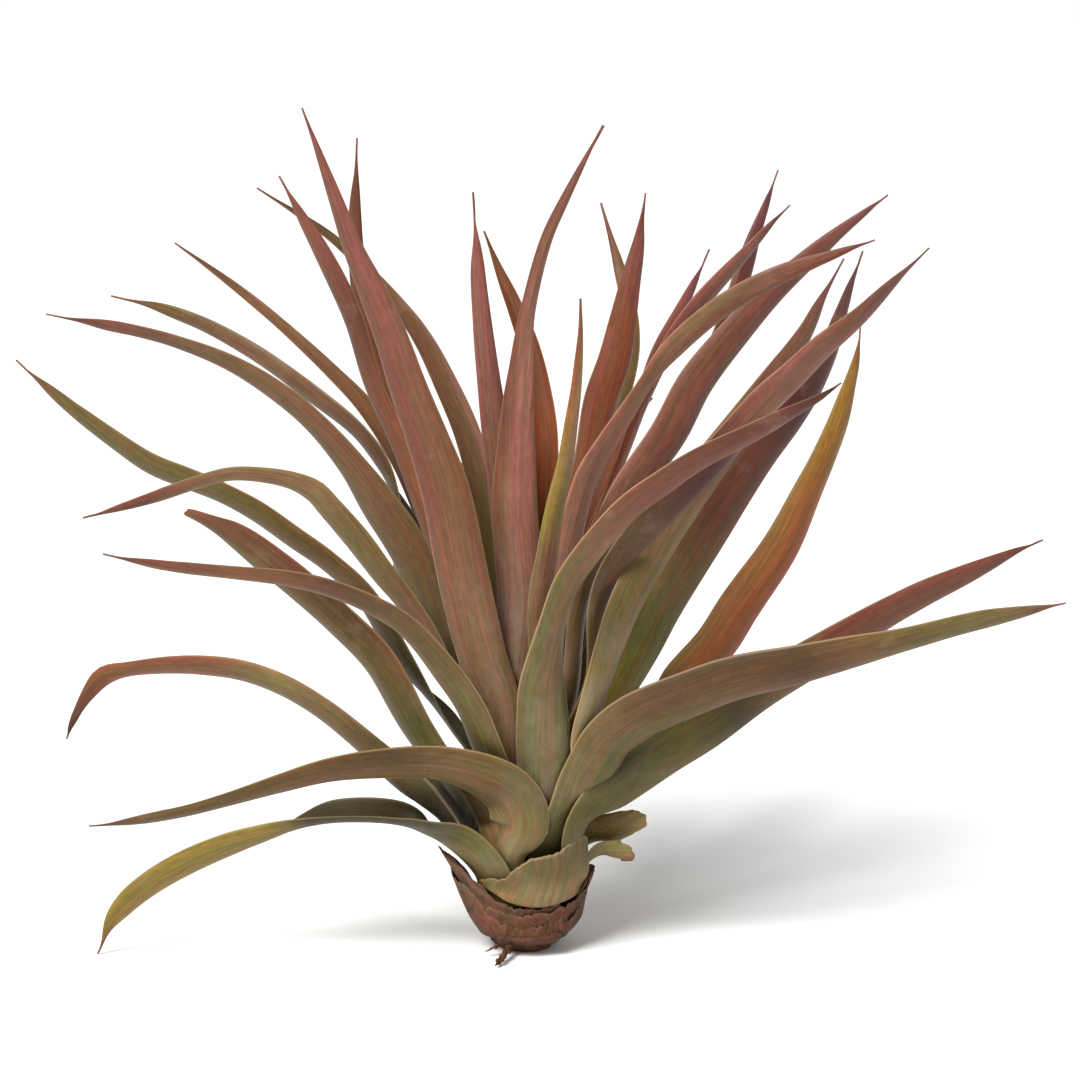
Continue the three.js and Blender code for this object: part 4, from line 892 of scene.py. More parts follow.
        (0, Tone.KHAKI), (0.15, Tone.SAGE), (0.26, Tone.SAGE, Tone.KHAKI),
        (0.35, Tone.KHAKI, Tone.CLAY), (0.45, Tone.KHAKI, Tone.COCOA), (0.55, Tone.FAWN, Tone.CLAY),
        (0.66, Tone.CHESTNUT, Tone.PLUM), (0.85, Tone.MAROON, Tone.PLUM), (1, Tone.GARNET),
    )),
    LeafPlan("leaf_right_01", Root(-30, 11, 8, 2.2), rows=(
        (12, 24.4, -9.5, 9.6), (17.6, 29.6, -10, 11.2, 36), (28.8, 37.8, -9, 11.8, 30),
        (36.8, 42.8, -8, 11.6, 30), (46.8, 49.8, -6, 10.6, 32), (59.4, 57.3, -2, 10.2, 35),
        (72.6, 65.3, 3, 8.8, 41), (80.2, 69.4, 5, 7.8, 42), (90.2, 74.3, 8, 5.6, 42),
        (98.3, 78.6, 10.6, 3.2, 42), (103.6, 81, 12),
    ), skin=(
        # The darker pine on the left hand at 0.24 and 0.52 is painted shadow, cast by leaf_right_02
        # above it.
        (0, Tone.SAGE), (0.14, Tone.LEAF), (0.24, Tone.PINE, Tone.LEAF), (0.35, Tone.LEAF),
        (0.44, Tone.PINE), (0.52, Tone.PINE, Tone.COCOA), (0.63, Tone.CHESTNUT),
        (0.76, Tone.PLUM, Tone.CHESTNUT), (0.9, Tone.PLUM, Tone.CHESTNUT), (1, Tone.MAROON),
    )),
    LeafPlan("leaf_right_02", Root(-55, 14, 10), margin=0.55, rows=(
        (9.5, 27, -10, 11), (13.4, 34.4, -13, 11.5, 20), (17, 40.2, -15.5, 12, 26),
        (22, 44.2, -17, 12.4, 30), (33.8, 49.2, -19, 12.4, 33), (42, 52.1, -20, 12, 35),
        (53.6, 54.5, -21, 11.4, 40), (65.6, 57.4, -22.5, 10.2, 47), (76.8, 60.2, -24, 8.4, 53),
        (86.8, 63, -25.5, 7.2, 52), (95.3, 65.2, -26.5, 5.9, 48), (102.4, 67, -27.3, 3.7, 46),
        (108.2, 68.4, -28),
    ), skin=(
        (0, Tone.SAGE), (0.14, Tone.LEAF, Tone.KHAKI), (0.25, Tone.OLIVE),
        (0.36, Tone.SEPIA, Tone.OLIVE), (0.5, Tone.SEPIA, Tone.COCOA), (0.6, Tone.SEPIA),
        (0.68, Tone.COCOA), (0.77, Tone.OLIVE), (0.86, Tone.KHAKI), (0.94, Tone.FAWN),
        (1, Tone.CHESTNUT),
    )),
)

STUBS = (
    LeafPlan("cut_stub_01", Root(20, 10.5, 6.5, 2.5), margin=0.5, blunt=True, rows=(
        (14.6, 21.8, 0.4, 7.8, 30), (18.8, 23.4, -1.4, 7, 25), (24.3, 25.4, -2.5, 5.4, 20),
    ), skin=(
        (0, Tone.SAND), (0.6, Tone.SAND), (0.8, Tone.KHAKI), (1, Tone.SAND),
    )),
    LeafPlan("cut_stub_02", Root(-9, 9.5, 6, 2.8), margin=0.5, blunt=True, rows=(
        (14.8, 18.2, -2.2, 6, 70), (17.8, 18.3, -3.6, 6, 48), (21.8, 18.1, -5, 5.6, 32),
    ), skin=(
        (0, Tone.KHAKI), (0.55, Tone.KHAKI), (0.75, Tone.SAND), (1, Tone.SAND, Tone.CORAL),
    )),
    LeafPlan("cut_stub_03", Root(-128, 14.5, 7, 1.6), margin=0.3, blunt=True, rows=(
        (-8.6, 25, -8.4, 7.6), (-12.4, 31, -10, 7),
    ), skin=(
        (0, Tone.SAND), (0.55, Tone.SAND), (0.62, Tone.PINE), (1, Tone.PINE),
    )),
    LeafPlan("cut_stub_04", Root(152, 12, 8, 2), margin=0.2, blunt=True, rows=(
        (-12.6, 24.6, 3.4, 9.6), (-17.6, 31, 4, 9.6), (-21, 35.4, 5, 9),
    ), skin=(
        # Its dark pine is partly painted shade: it fills a dark hollow behind leaf_left_08 and
        # leaf_left_09.
        (0, Tone.PINE), (0.75, Tone.PINE), (0.85, Tone.SAND), (1, Tone.SAND),
    )),
)

FAR_LEAVES = (
    FarPlan(
        "leaf_back_01", Root(104, 33, 4.5), reach=62, way=91, sweep=10, tip=100,
        crest=90, width=7.5,
        skin=((0, Tone.SAGE), (0.4, Tone.OLIVE), (0.7, Tone.RUSSET), (1, Tone.PLUM)),
    ),
    FarPlan(
        "leaf_back_02", Root(85, 30, 5), reach=84, way=104, sweep=-16, tip=84, crest=76, width=8.5,
        skin=((0, Tone.SAGE), (0.4, Tone.KHAKI), (0.7, Tone.CORAL, Tone.RUSSET), (1, Tone.MAROON)),
    ),
    FarPlan(
        "leaf_back_03", Root(58, 27, 5), reach=70, way=68, sweep=12, tip=99, crest=80, width=7.5,
        skin=((0, Tone.SAGE), (0.4, Tone.OLIVE), (0.7, Tone.MAUVE, Tone.RUSSET), (1, Tone.MAROON)),
    ),
    FarPlan(
        "leaf_back_04", Root(32, 23, 5), reach=93, way=64, sweep=-14, tip=70, crest=76, width=9,
        skin=((0, Tone.SAND), (0.35, Tone.SAND), (0.5, Tone.KHAKI), (0.7, Tone.RUSSET),
              (1, Tone.CHESTNUT)),
    ),
    FarPlan(
        "leaf_back_05", Root(102, 24, 5.5), reach=104, way=86, sweep=18, tip=44, crest=70, width=9,
        skin=((0, Tone.KHAKI), (0.4, Tone.OLIVE), (0.7, Tone.COCOA, Tone.RUSSET),
              (1, Tone.CHESTNUT)),
    ),
    FarPlan(
        "leaf_back_06", Root(74, 20, 6), reach=96, way=76, sweep=-12, tip=58, crest=66, width=8,
        skin=((0, Tone.SAGE), (0.4, Tone.LEAF, Tone.OLIVE), (0.7, Tone.BRICK), (1, Tone.CHESTNUT)),
    ),
    FarPlan(
        "leaf_back_07", Root(118, 27, 6), reach=95, way=107, sweep=8, tip=52, crest=70, width=8,
        skin=((0, Tone.KHAKI), (0.4, Tone.OLIVE), (0.7, Tone.TAUPE), (1, Tone.CHESTNUT)),
    ),
    FarPlan(
        "leaf_back_08", Root(134, 20, 5), reach=66, way=119, sweep=-10, tip=50, crest=58, width=7.5,
        skin=((0, Tone.SAND), (0.4, Tone.OLIVE), (0.7, Tone.OLIVE, Tone.RUSSET), (1, Tone.RUST)),
    ),
    FarPlan(
        "leaf_back_09", Root(36, 17, 5), reach=78, way=56, sweep=8, tip=31, crest=42, width=8,
        skin=((0, Tone.KHAKI), (0.4, Tone.LEAF), (0.7, Tone.OCHRE), (1, Tone.RUST)),
    ),
    FarPlan(
        "leaf_back_10", Root(118, 14, 6), reach=86, way=100, sweep=-20, tip=0, crest=46, width=8.5,
        skin=((0, Tone.SAND), (0.4, Tone.OLIVE), (0.7, Tone.OCHRE, Tone.MOSS), (1, Tone.COCOA)),
    ),
    FarPlan(
        "leaf_back_11", Root(76, 12, 6), reach=54, way=82, sweep=22, tip=0, crest=34, width=7.5,
        skin=((0, Tone.SAND), (0.4, Tone.KHAKI), (0.7, Tone.LEAF), (1, Tone.COCOA)),
    ),
)


def grown(
    name: str, source: bpy.types.Mesh, tree: bpy.types.NodeTree, **inputs: Feed
) -> bpy.types.Object:
    """Runs a geometry tree on a mesh and keeps the result as a plain mesh.

    Args:
        name: The new piece's name.
        source: The mesh that the tree starts from.
        tree: The geometry tree.
        **inputs: The tree's inputs, by their names with underscores for spaces.

    Returns:
        The new piece, with no modifier left on it.
    """
    seed = bpy.data.objects.new(name + "_source", source)
    bpy.context.scene.collection.objects.link(seed)
    modifier = seed.modifiers.new("grow", "NODES")
    modifier.node_group = tree
    sockets = [s for s in tree.interface.items_tree if s.item_type == "SOCKET"]
    keys = {s.name: s.identifier for s in sockets if s.in_out == "INPUT"}
    for name_of_input, value in inputs.items():
        modifier[keys[name_of_input.replace("_", " ").capitalize()]] = value
    graph = bpy.context.evaluated_depsgraph_get()
    mesh = bpy.data.meshes.new_from_object(
        seed.evaluated_get(graph), preserve_all_data_layers=True, depsgraph=graph
    )
    bpy.data.objects.remove(seed)
    return placed(name, mesh)


def placed(name: str, mesh: bpy.types.Mesh) -> bpy.types.Object:
    """Makes an object of a mesh, at the origin, with its faces pointing outwards."""
    mesh.name = name
    if volume(mesh) < 0:
        mesh.flip_normals()
    piece = bpy.data.objects.new(name, mesh)
    bpy.context.scene.collection.objects.link(piece)
    return piece


def volume(mesh: bpy.types.Mesh) -> float:
    """The mesh's volume, below nothing where its faces point inwards."""
    mesh.calc_loop_triangles()
    corners = np.zeros(len(mesh.loop_triangles) * 3, np.int32)
    mesh.loop_triangles.foreach_get("vertices", corners)
    places = np.zeros(len(mesh.vertices) * 3, np.float32)
    mesh.vertices.foreach_get("co", places)
    a, b, c = places.reshape(-1, 3)[corners.reshape(-1, 3)].transpose(1, 0, 2).astype(float)
    return float(np.einsum("ij,ij->i", a, np.cross(b, c)).sum() / 6)


def written(mesh: bpy.types.Mesh, name: str, kind: str, values: np.ndarray) -> None:
    """Stores a point attribute on a mesh.

    Args:
        mesh: The mesh.
        name: The attribute's name.
        kind: FLOAT, FLOAT_VECTOR or FLOAT_COLOR.
        values: One row for each vertex.
    """
    layer = mesh.attributes.new(name, kind, "POINT")
    key = {"FLOAT": "value", "FLOAT_VECTOR": "vector", "FLOAT_COLOR": "color"}[kind]
    layer.data.foreach_set(key, np.ascontiguousarray(values, np.float32).ravel())


def toned(along: np.ndarray, skin: Skin, hand: int) -> np.ndarray:
    """The colours that a skin has at shares of the length.

    Args:
        along: The shares.
        skin: The skin's stops.
        hand: Which of a stop's entries to read: 1 for the left hand, -1 for the right.

    Returns:
        One row of red, green, blue and alpha for each share.
    """
    places = [stop[0] for stop in skin]
    tones = np.array([stop[hand].albedo(BRIGHTNESS) for stop in skin])
    channels = [np.interp(along, places, tones[:, k]) for k in range(3)]
    return np.stack((*channels, np.ones(len(along))), axis=1)


def closed_mesh(shape: bmesh.types.BMesh, name: str) -> bpy.types.Mesh:
    """Turns a form into a mesh with its faces outwards, and frees the form."""
    bmesh.ops.recalc_face_normals(shape, faces=shape.faces)
    mesh = bpy.data.meshes.new(name)
    shape.to_mesh(mesh)
    shape.free()
    return mesh


def smooth_faces(mesh: bpy.types.Mesh) -> None:
    """Shades a mesh smoothly all over."""
    for face in mesh.polygons:
        face.use_smooth = True


def lofted(shape: bmesh.types.BMesh, rings: list[list[bmesh.types.BMVert]]) -> None:
    """Skins a form from ring to ring and closes both its ends."""
    for low, high in zip(rings, rings[1:]):
        for k in range(len(low)):
            n = (k + 1) % len(low)
            shape.faces.new((low[k], low[n], high[n], high[k]))
    shape.faces.new(rings[0][::-1])
    shape.faces.new(rings[-1])


def new_tree(
    name: str, inputs: dict[str, tuple[str, Feed]]
) -> tuple[bpy.types.NodeTree, Wiring, bpy.types.Node]:
    """Starts a geometry tree with a geometry input, named inputs and a geometry output.

    Args:
        name: The tree's name.
        inputs: Each input's socket type and starting value, by name.

    Returns:
        The tree, its wiring and its input node.
    """
    tree = bpy.data.node_groups.new(name, "GeometryNodeTree")
    tree.interface.new_socket("Geometry", in_out="INPUT", socket_type="NodeSocketGeometry")
    tree.interface.new_socket("Geometry", in_out="OUTPUT", socket_type="NodeSocketGeometry")
    for label, (kind, value) in inputs.items():
        socket = tree.interface.new_socket(label, in_out="INPUT", socket_type=kind)
        if value is not None:
            socket.default_value = value
    wire = Wiring(tree)
    return tree, wire, wire.node("NodeGroupInput")


def end_tree(wire: Wiring, geometry: Feed, material: Feed) -> None:
    """Ends a geometry tree in Realize Instances and Set Material."""
    real = wire.node("GeometryNodeRealizeInstances", {0: geometry}).outputs[0]
    real = wire.node("GeometryNodeSetShadeSmooth", {0: real}).outputs[0]
    dressed = wire.node("GeometryNodeSetMaterial", {"Geometry": real, "Material": material})
    wire.node("NodeGroupOutput", {0: dressed.outputs[0]})


class LeafBlade:
    """Makes a leaf's mesh from its plan: a line of stops, and a tree that rings them with skin."""

    TIP_WIDTH = 0.9
    CURL = 0.75
    STOPS = 92
    RING = 24
    SHEATH_THICK = 0.8
    BLADE_THICK = 0.56
    SHEATH_SHARE = 0.25
    TIP_START = 0.86
    TIP_THINNING = 0.5
    DEEPEST_PAINTED_SHADE = 0.5
    END_PULL = 0.9
    TIP_HOLLOWING = 0.35
    TORN = 1.5
    TORN_ACROSS = 2.6
    WAVE_LENGTH = 0.022
    WAVE_ACROSS = 1.4
    CREASE_REACH = 0.3
    TONE_REACH = 0.8
    WELD = 1e-6
    HOLLOWED = (0.5, 1)
    MARGIN_SHOWS = (0.02, 0.2)
    MARGIN_FADES = (0.6, 0.95)
    SCURF_FADES = (0.1, 0.55)
    SHADE_FADES = (0.02, 0.16)
    END_TORN = (0.8, 1)
    SHAPING = ("half", "curl", "thick", "fill", "pull", "travel")
    CARRIED = ("along", "margin", "scurf", "dry", "painted_base_shade")

    def __init__(self) -> None:
        """Builds the tree that all the leaves share."""
        self.tree = self.build_tree()

    def build_tree(self) -> bpy.types.NodeTree:
        """Builds the tree: a sheet of rings by stops, wrapped round the stops and closed."""
        inputs = {
            "Stops": ("NodeSocketInt", self.STOPS + 1),
            "Ring points": ("NodeSocketInt", self.RING),
            "Wave height": ("NodeSocketFloat", 0.0),
            "Wave length": ("NodeSocketFloat", self.WAVE_LENGTH),
            "Crease": ("NodeSocketFloat", 0.0),
            "Seed": ("NodeSocketFloat", 0.0),
            "Material": ("NodeSocketMaterial", None),
        }
        tree, wire, start = new_tree("leaf_blade", inputs)
        feed = {s.name: s for s in start.outputs}
        rows = wire.plus(feed["Ring points"], 1)
        sheet = wire.node("GeometryNodeMeshGrid", {"Vertices X": feed["Stops"], "Vertices Y": rows})
        index = wire.node("GeometryNodeInputIndex").outputs[0]
        stop = wire.math("FLOOR", wire.math("DIVIDE", wire.plus(index, 0.5), rows))
        place = wire.minus(index, wire.times(stop, rows))

        def read(name: str, kind: str = "FLOAT") -> Socket:
            """Reads a stop's attribute for the vertices of its ring."""
            named = wire.node("GeometryNodeInputNamedAttribute", {"Name": name}, data_type=kind)
            return sample(named.outputs[0], kind)

        def sample(value: Feed, kind: str) -> Socket:
            """Samples a value of the line at the ring's stop."""
            inputs = {"Geometry": feed["Geometry"], "Value": value, "Index": stop}
            node = wire.node("GeometryNodeSampleIndex", inputs, data_type=kind, domain="POINT")
            return node.outputs[0]

        def stored(shape: Feed, name: str, kind: str, value: Feed, domain: str) -> Socket:
            """Stores a value on a shape and returns the shape."""
            inputs = {"Geometry": shape, "Name": name, "Value": value}
            store = "GeometryNodeStoreNamedAttribute"
            return wire.node(store, inputs, data_type=kind, domain=domain).outputs[0]

        middle = sample(wire.node("GeometryNodeInputPosition").outputs[0], "FLOAT_VECTOR")
        side, inner = read("side", "FLOAT_VECTOR"), read("inner", "FLOAT_VECTOR")
        half, curl, thick, fill, pull, travel = map(read, self.SHAPING)

        angle = wire.times(wire.math("DIVIDE", place, feed["Ring points"]), 2 * math.pi)
        face = wire.math("SINE", angle)
        flat = wire.math("COSINE", angle)
        across = wire.times(flat, fill)
        lift = wire.times(wire.times(face, fill), wire.times(thick, 0.5))

        bend = wire.math("DIVIDE", half, curl)
        turn = wire.times(curl, across)
        reach = wire.minus(bend, lift)
        sideways = wire.times(reach, wire.math("SINE", turn))
        inwards = wire.minus(bend, wire.times(reach, wire.math("COSINE", turn)))

        length = wire.math("DIVIDE", travel, feed["Wave length"])
        square = wire.times(across, across)
        spot = {0: length, 1: wire.times(across, self.WAVE_ACROSS), 2: feed["Seed"]}
        ripple = wire.noise(wire.node("ShaderNodeCombineXYZ", spot).outputs[0], 1, 1)
        lever = wire.times(square, wire.times(feed["Wave height"], 2))
        crease = wire.times(feed["Crease"], -1)
        fold = wire.step(wire.math("ABSOLUTE", across), 0.0, self.CREASE_REACH, crease, 0.0)
        ripple = wire.minus(ripple, 0.5)
        inwards = wire.plus(inwards, wire.times(ripple, lever))
        inwards = wire.plus(inwards, wire.times(fold, fill))
        spread = wire.vector("ADD", wire.scaled(side, sideways), wire.scaled(inner, inwards))
        spot = {0: wire.times(across, self.TORN_ACROSS), 1: feed["Seed"]}
        torn = wire.noise(wire.node("ShaderNodeCombineXYZ", spot).outputs[0], 1, 3)
        drawn = wire.math("MULTIPLY_ADD", wire.minus(torn, 0.5), self.TORN, square)
        drawn = wire.times(drawn, wire.times(pull, -1))
        spread = wire.vector("ADD", spread, wire.scaled(read("way", "FLOAT_VECTOR"), drawn))
        inputs = {"Geometry": sheet.outputs[0], "Position": wire.vector("ADD", middle, spread)}
        wrapped = wire.node("GeometryNodeSetPosition", inputs).outputs[0]

        left, right = read("left_tone", "FLOAT_COLOR"), read("right_tone", "FLOAT_COLOR")
        from_middle = wire.times(wire.times(across, half), 1 / MM)
        spot = {0: from_middle, 1: wire.times(travel, 1 / MM), 2: feed["Seed"]}
        hand = wire.step(across, -self.TONE_REACH, self.TONE_REACH)
        kept = {
            "across": ("FLOAT", across),
            "face": ("FLOAT", wire.times(face, fill)),
            "tone": ("FLOAT_COLOR", wire.mix(hand, left, right)),
            "grain": ("FLOAT_VECTOR", wire.node("ShaderNodeCombineXYZ", spot).outputs[0]),
            **{name: ("FLOAT", read(name)) for name in self.CARRIED},
        }
        for name, (kind, value) in kept.items():
            wrapped = stored(wrapped, name, kind, value, "POINT")
        wrapped = stored(wrapped, "UVMap", "FLOAT2", sheet.outputs["UV Map"], "CORNER")
        inputs = {"Geometry": wrapped, "Distance": self.WELD}
        closed = wire.node("GeometryNodeMergeByDistance", inputs).outputs[0]
        end_tree(wire, closed, feed["Material"])
        return tree

    @staticmethod
    def natural_turn(point: np.ndarray, way: np.ndarray) -> float:
        """The turn of a blade whose channel faces the axis, in degrees."""
        picture, away = across_way(way)
        width = unit(np.array((-point[1], point[0], 0)))
        return math.degrees(math.atan2(width @ away, width @ picture))

    @staticmethod
    def turns(stations: list[Station], line: SmoothLine) -> list[float]:
        """The turn of the blade at each stop, in degrees.

        Args:
            stations: The stops.
            line: The line through them.

        Returns:
            The turns: the given ones, or the turn with the channel facing the axis.
        """
        last = len(stations) - 1
        turned: list[float] = []
        for i, station in enumerate(stations):
            turn = station.turn
            if turn is None:
                turn = LeafBlade.natural_turn(station.point, line.way(i / last))
            if turned:
                turn += 360 * round((turned[-1] - turn) / 360)
            turned.append(turn)
        return turned

    @staticmethod
    def read(values: Sequence[float], share: float) -> float:
        """Reads a value between stops, smoothly."""
        last = len(values) - 1
        at = min(last - 1, int(share * last))
        t = share * last - at
        a, b, c, d = (values[min(last, max(0, at + k))] for k in (-1, 0, 1, 2))
        rise, fall = (c - a) / 2, (d - b) / 2
        t2, t3 = t * t, t * t * t
        held = (2 * t3 - 3 * t2 + 1) * b + (t3 - 2 * t2 + t) * rise
        return held + (3 * t2 - 2 * t3) * c + (t3 - t2) * fall

    def spine(self, plan: LeafPlan | FarPlan, stations: list[Station]) -> bpy.types.Mesh:
        """Makes the line of stops that the tree rings.

        Args:
            plan: The leaf's plan.
            stations: The stops of its middle line.

        Returns:
            A mesh of loose vertices with an attribute for each thing that the tree reads.
        """
        line = SmoothLine([s.point for s in stations])
        turned = self.turns(stations, line)
        shares = line.even_shares(self.STOPS - 1)
        shares = np.concatenate((shares[:1], shares[:-1], [1.0, 1.0]))
        widths, curls = [s.width for s in stations], [s.curl for s in stations]
        points = np.array([line.point(s) for s in shares])
        travel = np.concatenate(([0], np.cumsum(np.linalg.norm(np.diff(points, axis=0), axis=1))))
        along = travel / travel[-1]
        ways, sides, inners, halves = [], [], [], []
        for share, part in zip(shares, along):
            way = line.way(share)
            ways.append(way)
            picture, away = across_way(way)
            turn = self.read(turned, share)
            if plan.faces_axis:
                turn = self.natural_turn(line.point(share), way)
            turn = math.radians(turn)
            side = picture * math.cos(turn) + away * math.sin(turn)
            sides.append(side)
            inners.append(unit(np.cross(way, side)))
            width = max(self.TIP_WIDTH, self.read(widths, share))
            if not plan.blunt:
                width *= 1 - self.TIP_THINNING * smooth(self.TIP_START, 1, part)
            halves.append(width / 2 * MM)
        sheath = np.clip(shares / self.SHEATH_SHARE, 0, 1)
        thick = self.SHEATH_THICK + (self.BLADE_THICK - self.SHEATH_THICK) * sheath
        fill = np.ones(len(shares))
        fill[[0, -1]] = 0

        def fade(span: tuple[float, float]) -> np.ndarray:
            """A soft step from 0 to 1 along a span of the leaf."""
            return np.array([smooth(*span, part) for part in along])

        mesh = bpy.data.meshes.new(plan.node + "_line")
        mesh.from_pydata([Vector(p * MM) for p in points], [], [])
        written(mesh, "way", "FLOAT_VECTOR", np.array(ways))
        written(mesh, "side", "FLOAT_VECTOR", np.array(sides))
        written(mesh, "inner", "FLOAT_VECTOR", np.array(inners))
        written(mesh, "left_tone", "FLOAT_COLOR", toned(along, plan.skin, 1))
        written(mesh, "right_tone", "FLOAT_COLOR", toned(along, plan.skin, -1))
        columns = {
            "half": np.array(halves),
            "curl": np.array([self.read(curls, s) for s in shares]),
            "thick": thick * (1 - self.TIP_HOLLOWING * fade(self.HOLLOWED)) * MM,
            "fill": fill,
            "along": along,
            "travel": travel * MM,
            "margin": plan.margin * fade(self.MARGIN_SHOWS) * (1 - 0.5 * fade(self.MARGIN_FADES)),
            "scurf": plan.scurf * (1 - fade(self.SCURF_FADES)),
            "dry": np.full(len(along), 0.0 if plan.blunt else 1.0),
            # Painted shade: half as bright at the root, fading out over the first sixth of the
            # length.
            "painted_base_shade": self.DEEPEST_PAINTED_SHADE + (1 - self.DEEPEST_PAINTED_SHADE) * fade(self.SHADE_FADES),
            "pull": self.END_PULL * plan.blunt * fade(self.END_TORN) * halves,
        }
        for name, values in columns.items():
            written(mesh, name, "FLOAT", values)
        return mesh

    def blade(
        self, plan: LeafPlan | FarPlan, stem: "Rootstock", material: bpy.types.Material, seed: float
    ) -> bpy.types.Object:
        """Makes a leaf.

        Args:
            plan: The leaf's plan.
            stem: What it grows from.
            material: Its skin.
            seed: A number that is the leaf's own.

        Returns:
            The leaf as a plain mesh.
        """
        line = self.spine(plan, plan.stations(stem))
        name = plan.node.replace("leaf_", "blade_").replace("cut_stub", "cut_end")
        crease, wave = plan.crease * MM, plan.wave * MM
        return grown(
            name, line, self.tree, crease=crease, wave_height=wave, seed=seed, material=material
        )


@dataclass
class Rootstock:
    """The short woody stem, with its rings, lumps and roots."""

    profile: tuple[tuple[float, float], ...] = (
        (5.2, 0), (7.0, 1.6), (8.0, 4.4), (8.3, 8), (7.8, 13), (6.7, 19), (5.3, 26), (4.0, 33),
        (2.8, 40), (1.7, 45),
    )
    top: float = 46
    sides: int = 72
    stops: int = 60
    root_sides: int = 12
    root_stops: int = 24
    voxel: float = 0.32
    clearance: float = 0.3
    sheath_thick: float = 0.8
    sheath_rise: float = 7
    ring_spacing: float = 1.3
    ring_relief: float = 0.28
    lump_relief: float = 0.45
    rough_top: tuple[float, float] = (12, 18)
    smooth_foot: float = 0.8
    roots: tuple[tuple[tuple[Point, ...], float, float], ...] = (
        (((-1, -1, 3), (-2.6, -7.5, 2.2), (-5.8, -17.8, 0.8)), 1.4, 0.7),
        (((-3, -3, 3), (-5, -7, 2.2), (-8.2, -9.4, 1.2)), 0.9, 0.4),
    )
    finish: WoodFinish = WoodFinish()

    def radius(self, height: float) -> float:
        """The stem's radius at a height."""
        return float(np.interp(height, [z for _, z in self.profile], [r for r, _ in self.profile]))

    def root_stations(self, root: Root) -> list[Station]:
        """The first two stops of a leaf, round the stem."""
        near = self.radius(root.height) + self.clearance + self.sheath_thick / 2
        stops = ((near, root.height), (near + root.spread, root.height + self.sheath_rise))
        return [
            Station(around(root.azimuth, radius, height), root.width, root.width / 2 / radius)
            for radius, height in stops
        ]

    def body(self) -> bmesh.types.BMesh:
        """Makes the stem as a turned form with uneven sides."""
        shape = bmesh.new()
        rings = []
        for z in np.linspace(0, self.top, self.stops):
            ring = []
            for k in range(self.sides):
                azimuth = 360 * k / self.sides
                lump = noise.noise(around(azimuth, 1.6, z * 0.3)) * self.lump_relief
                radius = self.radius(z) + lump * min(1, z / 2)
                ring.append(shape.verts.new(around(azimuth, radius, z) * MM))
            rings.append(ring)
        lofted(shape, rings)
        return shape

    def tube(
        self, shape: bmesh.types.BMesh, points: Sequence[Point], thick: float, thin: float
    ) -> None:
        """Adds a tapering root to the stem's form.

        Args:
            shape: The form so far.
            points: The root's middle line.
            thick: Its radius where it starts.
            thin: Its radius near its end.
        """
        line = SmoothLine(points)
        rings = []
        for i in range(self.root_stops + 1):
            share = i / self.root_stops
            picture, away = across_way(line.way(share))
            swell = 1 + 0.16 * noise.noise(Vector((share * 9, thick, 0)))
            radius = (thick + (thin - thick) * share) * swell * (1 - 0.55 * smooth(0.85, 1, share))
            ring = []
            for k in range(self.root_sides):
                angle = 2 * math.pi * k / self.root_sides
                out = picture * math.cos(angle) + away * math.sin(angle)
                ring.append(shape.verts.new((line.point(share) + out * radius) * MM))
            rings.append(ring)
        lofted(shape, rings)

    def build(self) -> bpy.types.Object:
        """Makes the rootstock as one skin, dressed."""
        shape = self.body()
        for points, thick, thin in self.roots:
            self.tube(shape, points, thick, thin)
        form = placed("rootstock_form", closed_mesh(shape, "rootstock_form"))
        remesh = form.modifiers.new("one_skin", "REMESH")
        remesh.mode = "VOXEL"
        remesh.voxel_size = self.voxel * MM
        graph = bpy.context.evaluated_depsgraph_get()
        skin = bpy.data.meshes.new_from_object(form.evaluated_get(graph), depsgraph=graph)
        bpy.data.objects.remove(form)
        self.roughen(skin)
        skin.materials.clear()
        skin.materials.append(self.finish.material())
        smooth_faces(skin)
        return placed("rootstock_body", skin)

    def roughen(self, mesh: bpy.types.Mesh) -> None:
        """Presses the leaf rings and the cracks of the bark into the skin."""
        normals = [v.normal.copy() for v in mesh.vertices]
        for vertex, normal in zip(mesh.vertices, normals):
            place = vertex.co / MM
            low = 1 - smooth(*self.rough_top, place.z)
            phase = place.z / self.ring_spacing + noise.noise(place * 0.25) * 1.3
            ring = math.sin(2 * math.pi * phase) * self.ring_relief * 0.6
            bark = noise.turbulence(Vector((place.x * 0.9, place.y * 0.9, place.z * 0.5)), 3, False)
            relief = ring + (bark - 0.6) * self.lump_relief
            vertex.co += normal * (relief * low * min(1, place.z / self.smooth_foot)) * MM


@dataclass(frozen=True)
class Layer:
    """One layer of a clasping sheath.

    It runs from one azimuth to another, stands off the sheath's rows by `push`, its rim is raised
    by `lift` and its foot by `drop`, and it is ragged, wavy and dipped as its numbers say.
    """

    start: float
    end: float
    seed: float
    push: float = 0.0
    lift: float = 0.0
    drop: float = 0.0
    ragged: float = 0.9
    wobble: float = 0.3
    thickness: float = 0.36


